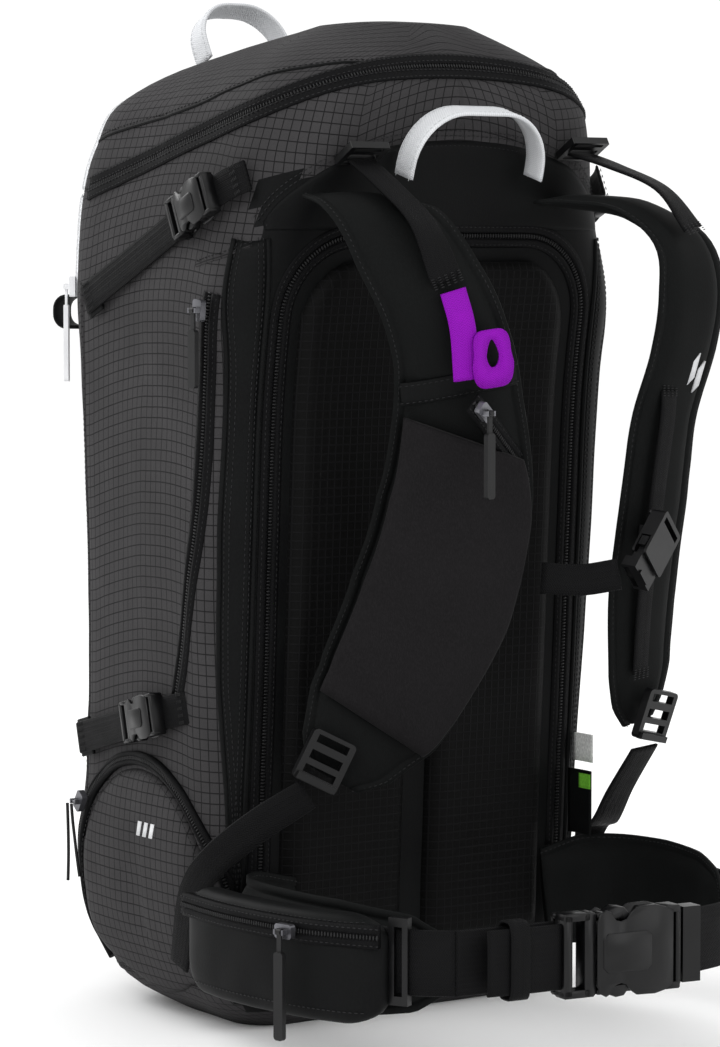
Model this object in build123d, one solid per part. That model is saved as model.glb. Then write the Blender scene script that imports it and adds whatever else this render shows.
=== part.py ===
from build123d import *
import math
import os

# A 38-litre touring and ski backpack with a buckled hip belt.
# Origin: centre of the base, on the floor. +Z is up, +Y is the pack's front,
# -Y is the back panel that lies against the wearer, -X is the wearer's right.
# Every size is in millimetres.

# ---- driving dimensions ----
wallThickness = 3.0        # laminated fabric and foam of the bag's walls
seamRise = 585.0           # height of the lid seam at the middle of the back
seamSide = 0.00124         # how fast the lid seam drops towards the sides
seamSlope = 0.25           # how fast it drops towards the front
seamBackY = -125.0
seamGap = 0.4              # half the gap between the bag and the lid
lidHingeY, lidHingeZ = 121.5, 508.0
tapeThickness = 1.4        # zip tape with its coil
skinLift = 0.3             # tapes and patches stand this far off the cloth
narrowWeb, wideWeb, webThickness = 20.0, 38.0, 2.0
foamThickness = 12.0
strapStandOff = 7.5         # buckles on the sides, from the bag to the webbing
beltLow, beltHigh, beltWebZ = 36.0, 106.0, 76.0
backArchHalf, backArchTop, backArchLow = 114.0, 484.0, 96.0

# Stations of the bag's outer skin, from the base up:
# height, back, front, half width at the back and front, back and front corner radius
bagStations = [
    (0, -58, 60, 100, 92, 24, 44),
    (12, -70, 84, 120, 110, 28, 48),
    (40, -80, 110, 134, 124, 30, 54),
    (90, -84, 124, 142, 131, 30, 56),
    (150, -87, 121, 145, 129, 30, 54),
    (200, -90, 117, 147, 128, 30, 52),
    (300, -95, 113, 151, 128, 30, 50),
    (400, -102, 115, 152, 131, 30, 50),
    (450, -110, 118, 151, 133, 32, 50),
    (480, -116, 120, 143, 133, 38, 52),
    (510, -124, 121, 134, 131, 46, 54),
    (540, -132, 116, 127, 126, 50, 58),
    (570, -132, 100, 118, 114, 52, 60),
    (586, -127, 66, 104, 94, 52, 54),
    (600, -116, 16, 84, 66, 50, 44),
    (612, -100, -30, 56, 40, 34, 30),
]
bagTop = bagStations[-1][0]


# ---- the bag's form ----
def bagSection(station, grow, z):
    """The outline of the bag at one height, moved out by grow."""
    _, back, front, backHalf, frontHalf, backRadius, frontRadius = station
    corners = [
        (-backHalf - grow, back - grow),
        (backHalf + grow, back - grow),
        (frontHalf + grow, front + grow),
        (-frontHalf - grow, front + grow),
    ]
    radii = [backRadius + grow] * 2 + [frontRadius + grow] * 2
    return Pos(0, 0, z) * make_face(FilletPolyline(*corners, radius=radii, close=True))


def bagForm(grow):
    """The bag's whole form, moved out by grow from its outer skin."""
    sections = []
    for station in bagStations:
        z = station[0]
        if grow < 0:
            z = min(max(z, -grow), bagTop + grow)
        sections.append(bagSection(station, grow, z))
    return loft(sections, ruled=True)


def stationAt(z):
    """The section values at any height, between the two stations around it."""
    for low, high in zip(bagStations, bagStations[1:]):
        if low[0] <= z <= high[0]:
            t = (z - low[0]) / (high[0] - low[0])
            return [a + (b - a) * t for a, b in zip(low, high)]
    return list(bagStations[-1])


def backY(z):
    return stationAt(z)[1]


def sideX(y, z):
    """Half width of the bag at a point of its side."""
    _, back, front, backHalf, frontHalf, _, _ = stationAt(z)
    return backHalf + (frontHalf - backHalf) * (y - back) / (front - back)


def aboveSeam(lift):
    """Everything above the lid seam, which is a cylinder that leans forward."""
    z0 = seamRise + lift - seamSlope * (-260 - seamBackY)
    drop = seamSide * 200 ** 2
    arc = ThreePointArc((-200, z0 - drop), (0, z0), (200, z0 - drop))
    sides = Polyline((200, z0 - drop), (200, 900), (-200, 900), (-200, z0 - drop))
    face = Plane.XZ.offset(260) * make_face([arc, sides])
    return extrude(face, 540, dir=(0, 1, -seamSlope))


# ---- small builders ----
def brick(low, high):
    """A box between two corners."""
    size = [b - a for a, b in zip(low, high)]
    middle = [(a + b) / 2 for a, b in zip(low, high)]
    return Pos(*middle) * Box(*size)


def sideStrip(points, width, y0=-220, y1=-60):
    """A prism across the bag's side whose outline follows points (y, z)."""
    left, right = offsetSides(points, width / 2)
    face = Plane.YZ.offset(y0) * make_face(Polyline(*left, *reversed(right), close=True))
    return extrude(face, y1 - y0, dir=(1, 0, 0))


def offsetSides(points, half):
    """Two rows of points at half to each side of a row of points."""
    left, right = [], []
    for i, (u, v) in enumerate(points):
        before = points[max(i - 1, 0)]
        after = points[min(i + 1, len(points) - 1)]
        du, dv = after[0] - before[0], after[1] - before[1]
        length = math.hypot(du, dv)
        left.append((u - dv / length * half, v + du / length * half))
        right.append((u + dv / length * half, v - du / length * half))
    return left, right


def ribbonFace(points, thickness):
    """A flat face of even width that follows a smooth row of points."""
    left, right = offsetSides(points, thickness / 2)
    edges = [Spline(*left), Line(left[-1], right[-1])]
    edges += [Spline(*reversed(right)), Line(right[0], left[0])]
    return make_face(edges)


def levelRibbon(points, thickness, low, high):
    """A band on edge, such as a belt: its path is seen from above."""
    return extrude(Pos(0, 0, low) * ribbonFace(points, thickness), high - low)


def band(stations, lift=0.0):
    """A strap through stations (place, width direction, width, thickness)."""
    faces = []
    places = [Vector(*s[0]) for s in stations]
    for i, (_, across, width, thickness) in enumerate(stations):
        run = places[min(i + 1, len(places) - 1)] - places[max(i - 1, 0)]
        across = Vector(*across)
        across = (across - run * (across.dot(run) / run.dot(run))).normalized()
        plane = Plane(origin=places[i], x_dir=across, z_dir=run.normalized())
        plane = Plane(origin=places[i] + plane.y_dir * lift, x_dir=across, z_dir=plane.z_dir)
        faces.append(plane * Rectangle(width, thickness))
    return loft(faces, ruled=True)


def frameOf(origin, along, outward):
    """A local frame: X along a strap, Z away from the surface below it."""
    along, outward = Vector(*along), Vector(*outward)
    outward = outward - along * (outward.dot(along) / along.dot(along))
    return Plane(origin=origin, x_dir=along, z_dir=outward)


def grouped(*parts):
    return Compound(children=list(parts))


# ---- bag, lid and the panels sewn on them ----
def buildShells():
    outer = bagForm(0)
    shell = outer - bagForm(-wallThickness)
    bag = shell - aboveSeam(-seamGap)
    lid = shell & aboveSeam(seamGap)
    return bag, lid


def buildSkins():
    """Skin layers just outside the bag, cut up for tapes and patches."""
    inner = bagForm(skinLift)
    tapes = bagForm(skinLift + tapeThickness) - inner
    patches = bagForm(skinLift + 0.9) - inner
    return tapes, patches


def buildLidTapes(tapes):
    """The upper and lower halves of the zip around the back of the lid."""
    reach = brick((-200, -200, 400), (200, 78, 700))
    upper = tapes & aboveSeam(0.6) & reach
    upper = upper - aboveSeam(8.0)
    lower = tapes & aboveSeam(-8.0) & reach
    lower = lower - aboveSeam(-0.6)
    return upper, lower


frontZipX, frontZipLow, frontZipTop, frontZipWidth = 121.0, 444.0, 577.0, 9.0


def buildFrontZip(tapes):
    """The pale zip of the front pocket: up one side, over the lid, down the other."""
    half = frontZipWidth / 2
    outside = archFace(frontZipX + half, frontZipTop + half, frontZipLow, 56)
    inside = archFace(frontZipX - half, frontZipTop - half, frontZipLow, 56)
    prism = extrude(Plane.XZ.offset(-30) * (outside - inside), -200)
    whole = tapes & prism
    return whole & aboveSeam(0.6), whole - aboveSeam(-0.6)


def archFace(half, top, low, radius):
    """An arch outline seen from the back: two legs and a rounded top."""
    path = FilletPolyline((-half, low), (-half, top), (half, top), (half, low), radius=radius)
    return make_face([path, Line((half, low), (-half, low))])


def buildBackZip(tapes):
    """The arch of the zip that opens the back panel."""
    outside = archFace(backArchHalf + 8, backArchTop + 8, backArchLow, 58)
    inside = archFace(backArchHalf - 8, backArchTop - 8, backArchLow, 42)
    prism = extrude(Plane.XZ.offset(20) * (outside - inside), 160)
    return tapes & prism


def buildBackPads():
    """Two foam pads of the back panel with an air channel between them."""
    pads = []
    for side in (-1, 1):
        profile = [(backY(z) - 4.6, z) for z in (52, 120, 200, 300, 400, 440, 470)]
        left, right = offsetSides(profile, 4.0)
        face = Plane.YZ * make_face(Polyline(*left, *reversed(right), close=True))
        slab = extrude(face, 104, dir=(1, 0, 0))
        slab = Pos(-104 if side < 0 else 0, 0, 0) * slab
        outline = archFace(100, 472, 40, 44) - Rectangle(16, 1200)
        pads.append(slab & extrude(Plane.XZ.offset(20) * outline, 160))
    return grouped(*pads)


def buildYoke(patches):
    """The smooth cloth at the top of the back, where the straps are sewn on."""
    outline = Polyline((-126, 492), (-112, 512), (-84, 528), (-45, 538), (0, 541), (45, 538),
                       (84, 528), (112, 512), (126, 492), close=True)
    return patches & extrude(Plane.XZ.offset(20) * make_face(outline), 160)


def buildEdgeBands(patches):
    """Smooth bands down both back corners of the bag."""
    limit = Polyline((-94, 492), (-93, 423), (-84, 314), (-79, 216), (-77, 60), (-160, 60),
                     (-160, 492), close=True)
    backPart = extrude(Plane.YZ.offset(-200) * make_face(limit), 400, dir=(1, 0, 0))
    bands = []
    for side in (-1, 1):
        points = [(123, 490), (126, 60), (147, 60), (158, 300), (160, 420), (140, 490)]
        outline = make_face(Polyline(*[(side * x, z) for x, z in points], close=True))
        bands.append(patches & backPart & extrude(Plane.XZ.offset(62) * outline, 90))
    return bands


def buildInsideFrame():
    """A plastic sheet and two aluminium stays behind the back panel."""
    sheetPoints = [(backY(z) + wallThickness + 3.4, z) for z in (40, 120, 200, 300, 400, 470)]
    left, right = offsetSides(sheetPoints, 0.8)
    sheet = extrude(Plane.YZ * make_face(Polyline(*left, *reversed(right), close=True)), 110, dir=(1, 0, 0))
    sheet = Pos(-55, 0, 0) * sheet
    stayPoints = [(y + 3.0, z) for y, z in sheetPoints]
    left, right = offsetSides(stayPoints, 1.6)
    bar = extrude(Plane.YZ * make_face(Polyline(*left, *reversed(right), close=True)), 13, dir=(1, 0, 0))
    return sheet, grouped(Pos(-45, 0, 0) * bar, Pos(32, 0, 0) * bar)


def buildSideZip(tapes):
    """The long pocket zip on the wearer's right side."""
    return tapes & sideStrip([(-84.5, 452), (-70, 327), (-56, 262), (-39, 204)], 15)


pocketMiddle, pocketRadius = (8.0, 77.0), 90.0


def pocketPrism(grow):
    """The round-topped outline of the lower pocket, as a prism across the side."""
    y, z = pocketMiddle
    radius = pocketRadius + grow
    arc = ThreePointArc((y + radius, z), (y, z + radius), (y - radius, z))
    legs = Polyline((y - radius, z), (y - radius + 8, 14), (y + radius - 4, 14), (y + radius, z))
    return extrude(Plane.YZ.offset(-220) * make_face([arc, legs]), 130, dir=(1, 0, 0))


def buildLowerPocket():
    """The round-topped pocket low on the side and the zip around it."""
    inner = bagForm(skinLift)
    pocket = (bagForm(6.5) - inner) & pocketPrism(-9)
    ring = (bagForm(4.0) - inner) & (pocketPrism(0) - pocketPrism(-8.6))
    return pocket, ring


# ---- webbing loops, labels ----
def archLoop(half, rise, width, thickness, radius):
    """A carry loop: a flat strap bent into an arch, standing in the XZ plane."""
    outer = archFace(half, rise, 0, radius)
    inner = archFace(half - thickness, rise - thickness, -1, radius - thickness)
    loop = extrude(Plane.XZ * (outer - inner), width / 2, both=True)
    feet = [Pos(s * (half - thickness / 2), 0, 0.0) * Box(thickness + 3, width, 5) for s in (-1, 1)]
    return loop + feet[0] + feet[1]


haulBack = Location((2, -139.5, 519), (16, 0, 0))
haulFront = Location((-22, 62, 593.5), (-28, 0, 0))
haulFrontEdge = haulFront * Location((0, 9, -2.5))     # the loop tips over the edge of its sewn feet


def buildHaulLoops():
    back = haulBack * archLoop(50, 42, 18, 2.4, 34)
    front = haulFront * archLoop(33, 40, 18, 2.4, 26)
    return back, front


def buildLabels():
    """A size tab and a care label sewn into the edge of the back panel."""
    size = brick((127, -106, 151), (127.8, -86.5, 169))
    care = brick((121, -112, 106), (121.8, -88.5, 147))
    return grouped(size, care)


# ---- side straps with their buckles ----
class SideStrap:
    """Lines of one compression strap: sewn stub, buckle, webbing, front anchor."""

    def __init__(self, side, mouth, tailY, tailZ):
        self.side, self.mouth = side, mouth
        self.tail = (tailY, tailZ)

    def frame(self):
        y, z = self.mouth
        x = self.side * (sideX(y, z) + strapStandOff)
        tailX = self.side * (sideX(*self.tail) + strapStandOff)
        along = (x - tailX, y - self.tail[0], z - self.tail[1])
        return frameOf((x, y, z), along, (self.side, 0, 0))


upperStraps = [SideStrap(s, (-54, 497), 60, 445) for s in (-1, 1)]
lowerStraps = [SideStrap(s, (-2, 188), 80, 168) for s in (-1, 1)]
strapOrder = [("upper_right", upperStraps[0]), ("upper_left", upperStraps[1]),
              ("lower_right", lowerStraps[0]), ("lower_left", lowerStraps[1])]


def buckleSocket(web):
    """Female half of a side-release buckle. Its mouth is at X = 0, and it runs to +X.

    Its sides are open from the mouth to the thumb pads, so that a stiff prong can slide out.
    """
    length, width, height = web * 1.35 + 5, web * 1.36, web * 0.22 + 5.4
    body = Pos(length / 2, 0, height / 2 - 1.2) * Box(length, width, height)
    body = fillet(body.edges().filter_by(Axis.Z), 2.4)
    depth = web * 0.82
    cavity = brick((-1, -web * 0.57, 0.3), (depth, web * 0.57, height - 3.0))
    windows = brick((-1, -width, 0.3), (web * 0.62, width, height - 3.0))
    slot = brick((length - 7, -web / 2 - 0.6, -5), (length - 3, web / 2 + 0.6, height + 5))
    return body - cavity - windows - slot


def buckleTongue(web, withArms=True):
    """Male half: a frame around the webbing, a centre guide and two prongs."""
    height = web * 0.22 + 5.4
    frameLength = web * 0.55
    top = height - 3.5
    plate = brick((-frameLength, -web * 0.62, 0.6), (-0.4, web * 0.62, top))
    walls = [brick((-frameLength, s * web * 0.56 - web * 0.06, -2.9),
                   (-frameLength + 7, s * web * 0.56 + web * 0.06, 0.6)) for s in (-1, 1)]
    floor = brick((-frameLength, -web * 0.62, -3.6), (-frameLength + 7, web * 0.62, -2.9))
    bar = brick((-frameLength, -web * 0.3, top), (-frameLength + 2.5, web * 0.3, top + 1.2))
    guide = brick((-0.4, -web * 0.1, 1.0), (web * 0.7, web * 0.1, top - 0.2))
    tongue = plate + walls[0] + walls[1] + floor + bar + guide
    if withArms:
        tongue = tongue + brick((-0.5, -web * 0.53, 1.0), (0.3, web * 0.53, top - 0.3))
        tongue = tongue + releaseArm(web, 1) + releaseArm(web, -1)
    return tongue


def releaseArm(web, side):
    """One springy prong with the thumb pad that shows in the socket's window."""
    height = web * 0.22 + 5.4
    stem = brick((0.1, side * web * 0.47 - web * 0.06, 1.0),
                 (web * 0.72, side * web * 0.47 + web * 0.06, height - 3.8))
    pad = brick((web * 0.24, side * web * 0.58 - web * 0.1, 1.0),
                (web * 0.56, side * web * 0.58 + web * 0.1, height - 3.8))
    return stem + pad


def buildSideStraps():
    """Sockets, tongues, webbing and anchors of the four compression straps."""
    sockets, webs, anchors, tongues = [], [], [], {}
    for name, strap in strapOrder:
        frame = strap.frame()
        sockets.append(frame * buckleSocket(narrowWeb))
        tongues[name] = frame * buckleTongue(narrowWeb)
        half = narrowWeb / 2
        reach = math.dist(strap.mouth, strap.tail) + 2
        webs.append(frame * brick((-reach, -half, -2.5), (-5.0, half, -0.5)))
        rear = narrowWeb * 1.35 + 5
        stub = brick((rear - 6.4, -half, -2.2), (rear + 22, half, 0.0))
        anchors.append(frame * brick((-reach - 2, -half - 2, -4.4), (-reach + 14, half + 2, -2.8)))
        webs.append(frame * stub)
    return grouped(*sockets), grouped(*webs), grouped(*anchors), tongues


def buildSkiLoop():
    """The webbing loop for ski tails, low on the front corner."""
    loop = archLoop(11, 18, 24, 2.4, 8)
    return Plane(origin=(-111, 114.5, 436), x_dir=(0, 0, 1), z_dir=(-0.5, 0.87, 0)) * loop


# ---- harness ----
leanRight, leanLeft = (0.94, -0.34, 0), (0.98, 0.19, 0)
rightStrap = [
    ((-86, -133, 507), (1, 0, 0), 58, 7),
    ((-87, -156, 502), (1, -0.1, 0), 62, 10),
    ((-80, -178, 484), leanRight, 66, 12),
    ((-65, -191, 451), leanRight, 68, 12),
    ((-50, -190, 420), leanRight, 72, 12),
    ((-38, -181, 385), leanRight, 80, 12),
    ((-29, -167, 328), leanRight, 98, 12),
    ((-37, -153, 267), leanRight, 104, 12),
    ((-60, -143, 215), leanRight, 94, 12),
    ((-72, -139, 196), leanRight, 86, 12),
    ((-86, -133, 172), leanRight, 62, 9),
    ((-92, -130.5, 161), leanRight, 34, 7),
]
leftStrap = [
    ((66, -133, 504), (1, 0, 0), 52, 7),
    ((82, -156, 504), (0.93, 0.37, 0), 56, 10),
    ((99, -182, 499), (0.93, 0.37, 0), 58, 12),
    ((114, -202, 481), (0.96, 0.28, 0), 60, 12),
    ((122, -205, 452), leanLeft, 62, 12),
    ((123, -197, 415), leanLeft, 62, 12),
    ((119, -184, 374), leanLeft, 62, 12),
    ((117, -177, 326), leanLeft, 64, 12),
    ((112, -172, 265), leanLeft, 64, 12),
    ((115, -166, 216), leanLeft, 58, 12),
    ((118, -161.5, 196), leanLeft, 46, 10),
    ((120, -158.5, 184), leanLeft, 28, 8),
]


def layered(stations, lift, trim, thickness, first, last):
    """A layer on a strap's outer face: same path, lifted, narrower by trim."""
    places = [Vector(*s[0]) for s in stations]
    layer = []
    for i in range(first, last + 1):
        place, across, width, depth = stations[i]
        run = places[min(i + 1, len(places) - 1)] - places[max(i - 1, 0)]
        side = Vector(*across)
        side = (side - run * (side.dot(run) / run.dot(run))).normalized()
        out = run.normalized().cross(side)
        if out.Y > 0 or (abs(out.Y) < 0.3 and out.Z < 0):
            out = out * -1
        shift = out * (depth / 2 + lift + thickness / 2)
        spot = (place[0] + shift.X, place[1] + shift.Y, place[2] + shift.Z)
        layer.append((spot, across, max(width - trim, 10), thickness))
    return band(layer)


def sliderRoom():
    """What the strap zip's slider and its hanging pull pass through, over their whole travel."""
    slider = sliders["strap"]
    groove = slider.track * brick((-0.4, -5.0, -strapZipTravel - 7.5), (60, 5.0, 7.5))
    down = slider.track.z_dir * -1
    face = Plane(origin=slider.hang.origin, x_dir=(0, 0, 1), z_dir=down.cross(Vector(0, 0, 1)).normalized())
    return groove + face * brick((-52 - strapZipTravel, -60, -4.4), (20, 60, 60))


def buildShoulderStraps():
    right, left = band(rightStrap), band(leftStrap)
    pocket = layered(rightStrap, 0.3, 6, 14, 5, 9) - sliderRoom()
    return right, left, pocket


strapZipOut = (-0.30, -0.93, 0.20)
strapZipTravel = 38
strapZipStart, strapZipEnd = Vector(-43, -206.4, 384.6), Vector(-1, -189.4, 352.6)


def buildStrapZip():
    """The zip across the top of the pocket on the shoulder strap."""
    along = strapZipEnd - strapZipStart
    plane = frameOf(strapZipStart, along, strapZipOut)
    return plane * brick((-4, -7, -2.6), (along.length + 4, 7, -0.2))


def buildGrabTab():
    """A bright folded tab that holds the end of the load-lifter strap."""
    strip = [((-60, -205.0, 452), leanRight, 16, 2.0), ((-54, -206.5, 430), leanRight, 16, 2.0),
             ((-48, -202.5, 405), leanRight, 16, 2.0)]
    loop = [((-38, -212, 440), leanRight, 20, 2.0), ((-35, -214, 424), leanRight, 24, 2.0),
            ((-31, -211, 404), leanRight, 24, 2.0)]
    hole = Plane(origin=(-35, -214, 424), x_dir=(0.94, -0.34, 0), z_dir=(-0.34, -0.94, 0.1))
    eye = extrude(hole * SlotOverall(14, 7, rotation=90), 8, both=True)
    return grouped(band(strip), band(loop) - eye)


def buildLifters():
    """The load-lifter webbing from the bag's top corners down onto the straps."""
    right = band([((-78, -134, 531), (1, 0, 0), 20, 2), ((-76, -162, 514), (1, 0, 0), 20, 2),
                  ((-72, -192, 491), (1, 0, 0), 20, 2), ((-63, -203.0, 458), leanRight, 20, 2)])
    left = band([((88, -134, 535), (1, 0, 0), 20, 2), ((94, -165, 526), (1, 0.3, 0), 20, 2),
                 ((106, -196, 512), (0.9, 0.4, 0), 20, 2), ((116, -213, 488), leanLeft, 20, 2)])
    buckles = []
    for spot, across in (((-78, -142, 529), (1, 0, 0)), ((89, -142, 534), (1, 0, 0))):
        plane = Plane(origin=spot, x_dir=across, z_dir=(0, 0.5, 0.86))
        frame = Box(28, 20, 4.4) - Box(21, 4, 9) - Pos(0, 7, 0) * Box(21, 4, 9) - Pos(0, -7, 0) * Box(21, 3, 9)
        buckles.append(plane * Pos(0, 0, 3.6) * fillet(frame.edges().filter_by(Axis.Z), 1.0))
    return grouped(right, left), grouped(*buckles)


lockRight, lockLeft = (-98.6, -139.9, 185.5), (125.9, -174.1, 200.9)
lockRightTurn, lockLeftTurn = (10, 25, -20), (10, 14, 11)


def ladderLock():
    """A ladder-lock buckle. It hangs along -Z from its top bar at the origin."""
    plate = Pos(0, 0, -13) * Box(29, 5, 32)
    plate = fillet(plate.edges().filter_by(Axis.Y), 3)
    plate = plate - Pos(0, 0, -2.0) * Box(21, 9, 5) - Pos(0, 0, -12) * Box(21, 9, 5.5)
    plate = plate - Pos(0, 0, -21) * Box(21, 9, 5)
    return plate + Pos(0, -3.6, -26.5) * Box(26, 3.2, 4)


def buildLadderLocks():
    right = Location(lockRight, lockRightTurn) * ladderLock()
    left = Location(lockLeft, lockLeftTurn) * ladderLock()
    return right, left


def buildLowerWebs():
    """The webbing from each ladder lock down to the bottom corner of the bag."""
    right = [((-113.6, -134.4, 154.6), (0.85, -0.27, -0.45), 20, 2), ((-140, -120, 136), (0.41, -0.40, -0.81), 20, 2),
             ((-154.5, -97, 114), (0.38, -0.50, -0.77), 20, 2), ((-158.4, -76, 90), (0.17, -0.81, -0.56), 20, 2),
             ((-157, -62, 46), (-0.05, -1, 0), 20, 2)]
    left = [((117.6, -168.2, 168.4), (0.95, 0.23, -0.2), 20, 2), ((126, -135, 138), (0.97, -0.2, 0.1), 20, 2),
            ((138, -105, 113), (0.85, -0.5, 0.15), 20, 2), ((151, -72, 100), (0.1, -0.98, 0), 20, 2),
            ((151.5, -62, 46), (0.05, -1, 0), 20, 2)]
    return band(right), band(left)


# ---- sternum strap ----
sternumTop, sternumLow = Vector(100, -205, 312), Vector(64, -213, 271)
sternumRun = (sternumLow - sternumTop).normalized()


def sternumFrame():
    """Mouth of the sternum buckle: X points from the mouth up to the rail."""
    mouth = sternumTop + sternumRun * 33
    return frameOf(mouth, sternumRun * -1, (0.5, -0.85, 0.1))


def buildRails():
    """The webbing rail on the wearer's left strap that the sternum strap slides on."""
    stations = [((111.7, -196.4, 390), leanLeft, 14, 2), ((111.2, -196.2, 374), leanLeft, 14, 2),
                ((109.2, -189.2, 326), leanLeft, 14, 2), ((104.2, -184.2, 265), leanLeft, 14, 2),
                ((106.8, -176.4, 216), leanLeft, 14, 2)]
    return band(stations)


def buildSternum():
    frame = sternumFrame()
    socket = frame * buckleSocket(narrowWeb)
    carrier = Plane(origin=(107.3, -187.3, 303), x_dir=leanLeft, z_dir=(5, -5, 61))
    clip = carrier * (Box(20, 6.2, 9) - Box(15.2, 3.2, 30))
    link = band([((107.2, -191.6, 304), (1, 0.1, -0.1), 15, 1.6), ((104.5, -197, 310), (0.9, 0.1, -0.5), 15, 1.6),
                 ((99.0, -203.6, 313.5), (0.75, 0.1, -0.65), 15, 1.6)])
    socket = grouped(socket, clip, link)
    tongue = frame * buckleTongue(narrowWeb)
    low = frame.from_local_coords((-12, 0, -1.5))
    web = [((25, -181, 279), (0, 0, 1), 19, 2), ((44, -196, 278), (0, 0.1, 1), 19, 2),
           ((low.X - 9, low.Y - 1, low.Z + 3), (-0.2, 0.1, 1), 19, 2)]
    return socket, tongue, band(web)


# ---- hip belt ----
rightWingPath = [(-98, -94.5), (-126, -99), (-144, -118), (-150, -158), (-143, -208), (-123, -252), (-99, -276)]
leftWingPath = [(98, -94.5), (126, -99), (143, -118), (149, -152), (145, -188), (132, -220), (118, -240)]
beltStart, beltEnd = Vector(-118, -284.5, beltWebZ), Vector(34, -305.4, beltWebZ)
beltAlong = (beltEnd - beltStart).normalized()
beltBuckle = Vector(-33, -296.2, beltWebZ)


def wing(points, root, tip):
    """A padded wing of the hip belt, rounded at its tip."""
    slab = levelRibbon(points, foamThickness, beltLow, beltHigh)
    outline = [(root, 32), (root, 98), (root - 30, 108), (root - 90, 108), (tip + 18, 102),
               (tip, 84), (tip, 62), (tip + 14, 46), (root - 90, 34)]
    face = Plane.YZ.offset(-220) * make_face(Polyline(*outline, close=True))
    return slab & extrude(face, 440, dir=(1, 0, 0))


def buildWings():
    return wing(rightWingPath, -80, -276), wing(leftWingPath, -80, -240)


def buildHipPocket():
    """The zipped pocket on the wearer's right wing, and its zip."""
    path = [(-166.5, -98), (-170.6, -152), (-162.5, -212), (-142.5, -254)]
    body = levelRibbon(path, 25, 38, 103)
    outline = make_face(Polyline((-86, 42), (-86, 96), (-100, 103), (-200, 103), (-250, 99), (-268, 84),
                                 (-268, 52), (-250, 42), (-110, 36), close=True))
    body = body & extrude(Plane.YZ.offset(-220) * outline, 200, dir=(1, 0, 0))
    zipPath = [(-180.2, -100), (-184.2, -153), (-175.8, -217), (-155, -260)]
    strip = levelRibbon(zipPath, 1.6, 84, 98)
    return body, strip


hipZipSpot = Vector(-178.6, -210, 91)
hipZipRun = Vector(-0.19, 0.98, 0)


def buildBeltWebs():
    """Belt webbing, from the right wing to the buckle and on to the left wing."""
    wide = wideWeb / 2
    z0, z1 = beltWebZ - wide, beltWebZ + wide
    rightRoot = levelRibbon([(-141, -246), (-132, -268), (-118.4, -284.4)], 2, z0, z1)
    frame = beltFrame()
    straight = frame * brick((-86, -wide, -2.5), (-11.0, wide, -0.5))
    socketEnd = wideWeb * 1.35 + 5
    fromSocket = frame * brick((socketEnd - 6.4, -wide, -2.2), (socketEnd + 16, wide, 0.0))
    start = frame.from_local_coords((socketEnd + 17, 0, -1.1))
    leftRun = levelRibbon([(start.X, start.Y), (76, -294), (118, -262), (141, -222), (152.5, -176)], 2, z0, z1)
    return rightRoot, straight, fromSocket, leftRun


def beltFrame():
    """Mouth of the hip buckle: X points across to the wearer's left, Z away from them."""
    return frameOf(beltBuckle, beltAlong, (0, -1, 0))


def buildBeltSliders():
    """A triglide at the pocket's end of the webbing, and the rolled end past the buckle."""
    wide = wideWeb / 2
    triglide = Location((-137.6, -258.5, beltWebZ), (0, 0, -63)) * (Box(12, 5.4, 50) - Box(5, 9, 39.6))
    frame = beltFrame()
    end = wideWeb * 1.35 + 5
    roll = frame * (Pos(end + 10, 0, 2.6) * Box(12, 44, 11) - Pos(end + 10, 0, -1.1) * Box(20, 39.2, 3.0))
    return grouped(triglide, roll)


def buildBeltTail():
    """The free tail of the webbing behind the buckle, held by a loop. It follows the tongue."""
    wide = wideWeb / 2
    frame = beltFrame()
    tail = frame * brick((-70, -wide, 7.4), (-21.5, wide, 9.2))
    loop = Pos(-50, 0, 3.6) * Box(13, 44, 15.4) - Pos(-50, 0, 3.6) * Box(20, 39.6, 13.2)
    return grouped(tail, frame * loop)


def buildHipBuckle():
    frame = beltFrame()
    arms = [frame * releaseArm(wideWeb, s) for s in (-1, 1)]
    return frame * buckleSocket(wideWeb), frame * buckleTongue(wideWeb, False), arms


# ---- zip sliders and pulls ----
pinLift, pinRadius, eyeClearance = 6.6, 0.8, 0.1


class Slider:
    """One zip slider: where it sits, which way is out, and which way its track runs."""

    def __init__(self, origin, outward, run):
        outward, run = Vector(*outward), Vector(*run).normalized()
        outward = (outward - run * outward.dot(run)).normalized()
        self.track = Plane(origin=origin, x_dir=outward, z_dir=run)
        level = Vector(outward.X, outward.Y, 0).normalized()
        pin = Vector(*origin) + outward * pinLift
        self.hang = Plane(origin=pin, x_dir=level, z_dir=(0, 0, 1))

    def build(self):
        """The slider's block on its track, and two cheeks that hold the pull's pin."""
        block = brick((0.4, -4.2, -6.5), (4.2, 4.2, 6.5))
        block = self.track * fillet(block.edges().filter_by(Axis.X), 2.0)
        pin = Rot(90, 0, 0) * Cylinder(pinRadius, 6.6)
        cheeks = [brick((-3.6, side * 3.1 - 0.7, -1.5), (1.4, side * 3.1 + 0.7, 1.5)) for side in (-1, 1)]
        return block + self.hang * (pin + cheeks[0] + cheeks[1])

    def pull(self, length, grip=7.0):
        """A pull tab that hangs from the pin."""
        ring = Rot(90, 0, 0) * Cylinder(2.0, 3.6)
        stem = brick((-0.7, -1.7, -12), (0.7, 1.7, -1.2))
        tab = brick((-1.5, -grip / 2, -length), (1.5, grip / 2, -11.5))
        tab = fillet(tab.edges().filter_by(Axis.X), grip * 0.3)
        bore = Rot(90, 0, 0) * Cylinder(pinRadius + eyeClearance, 9)
        return self.hang * (ring + stem + tab - bore)


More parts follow.
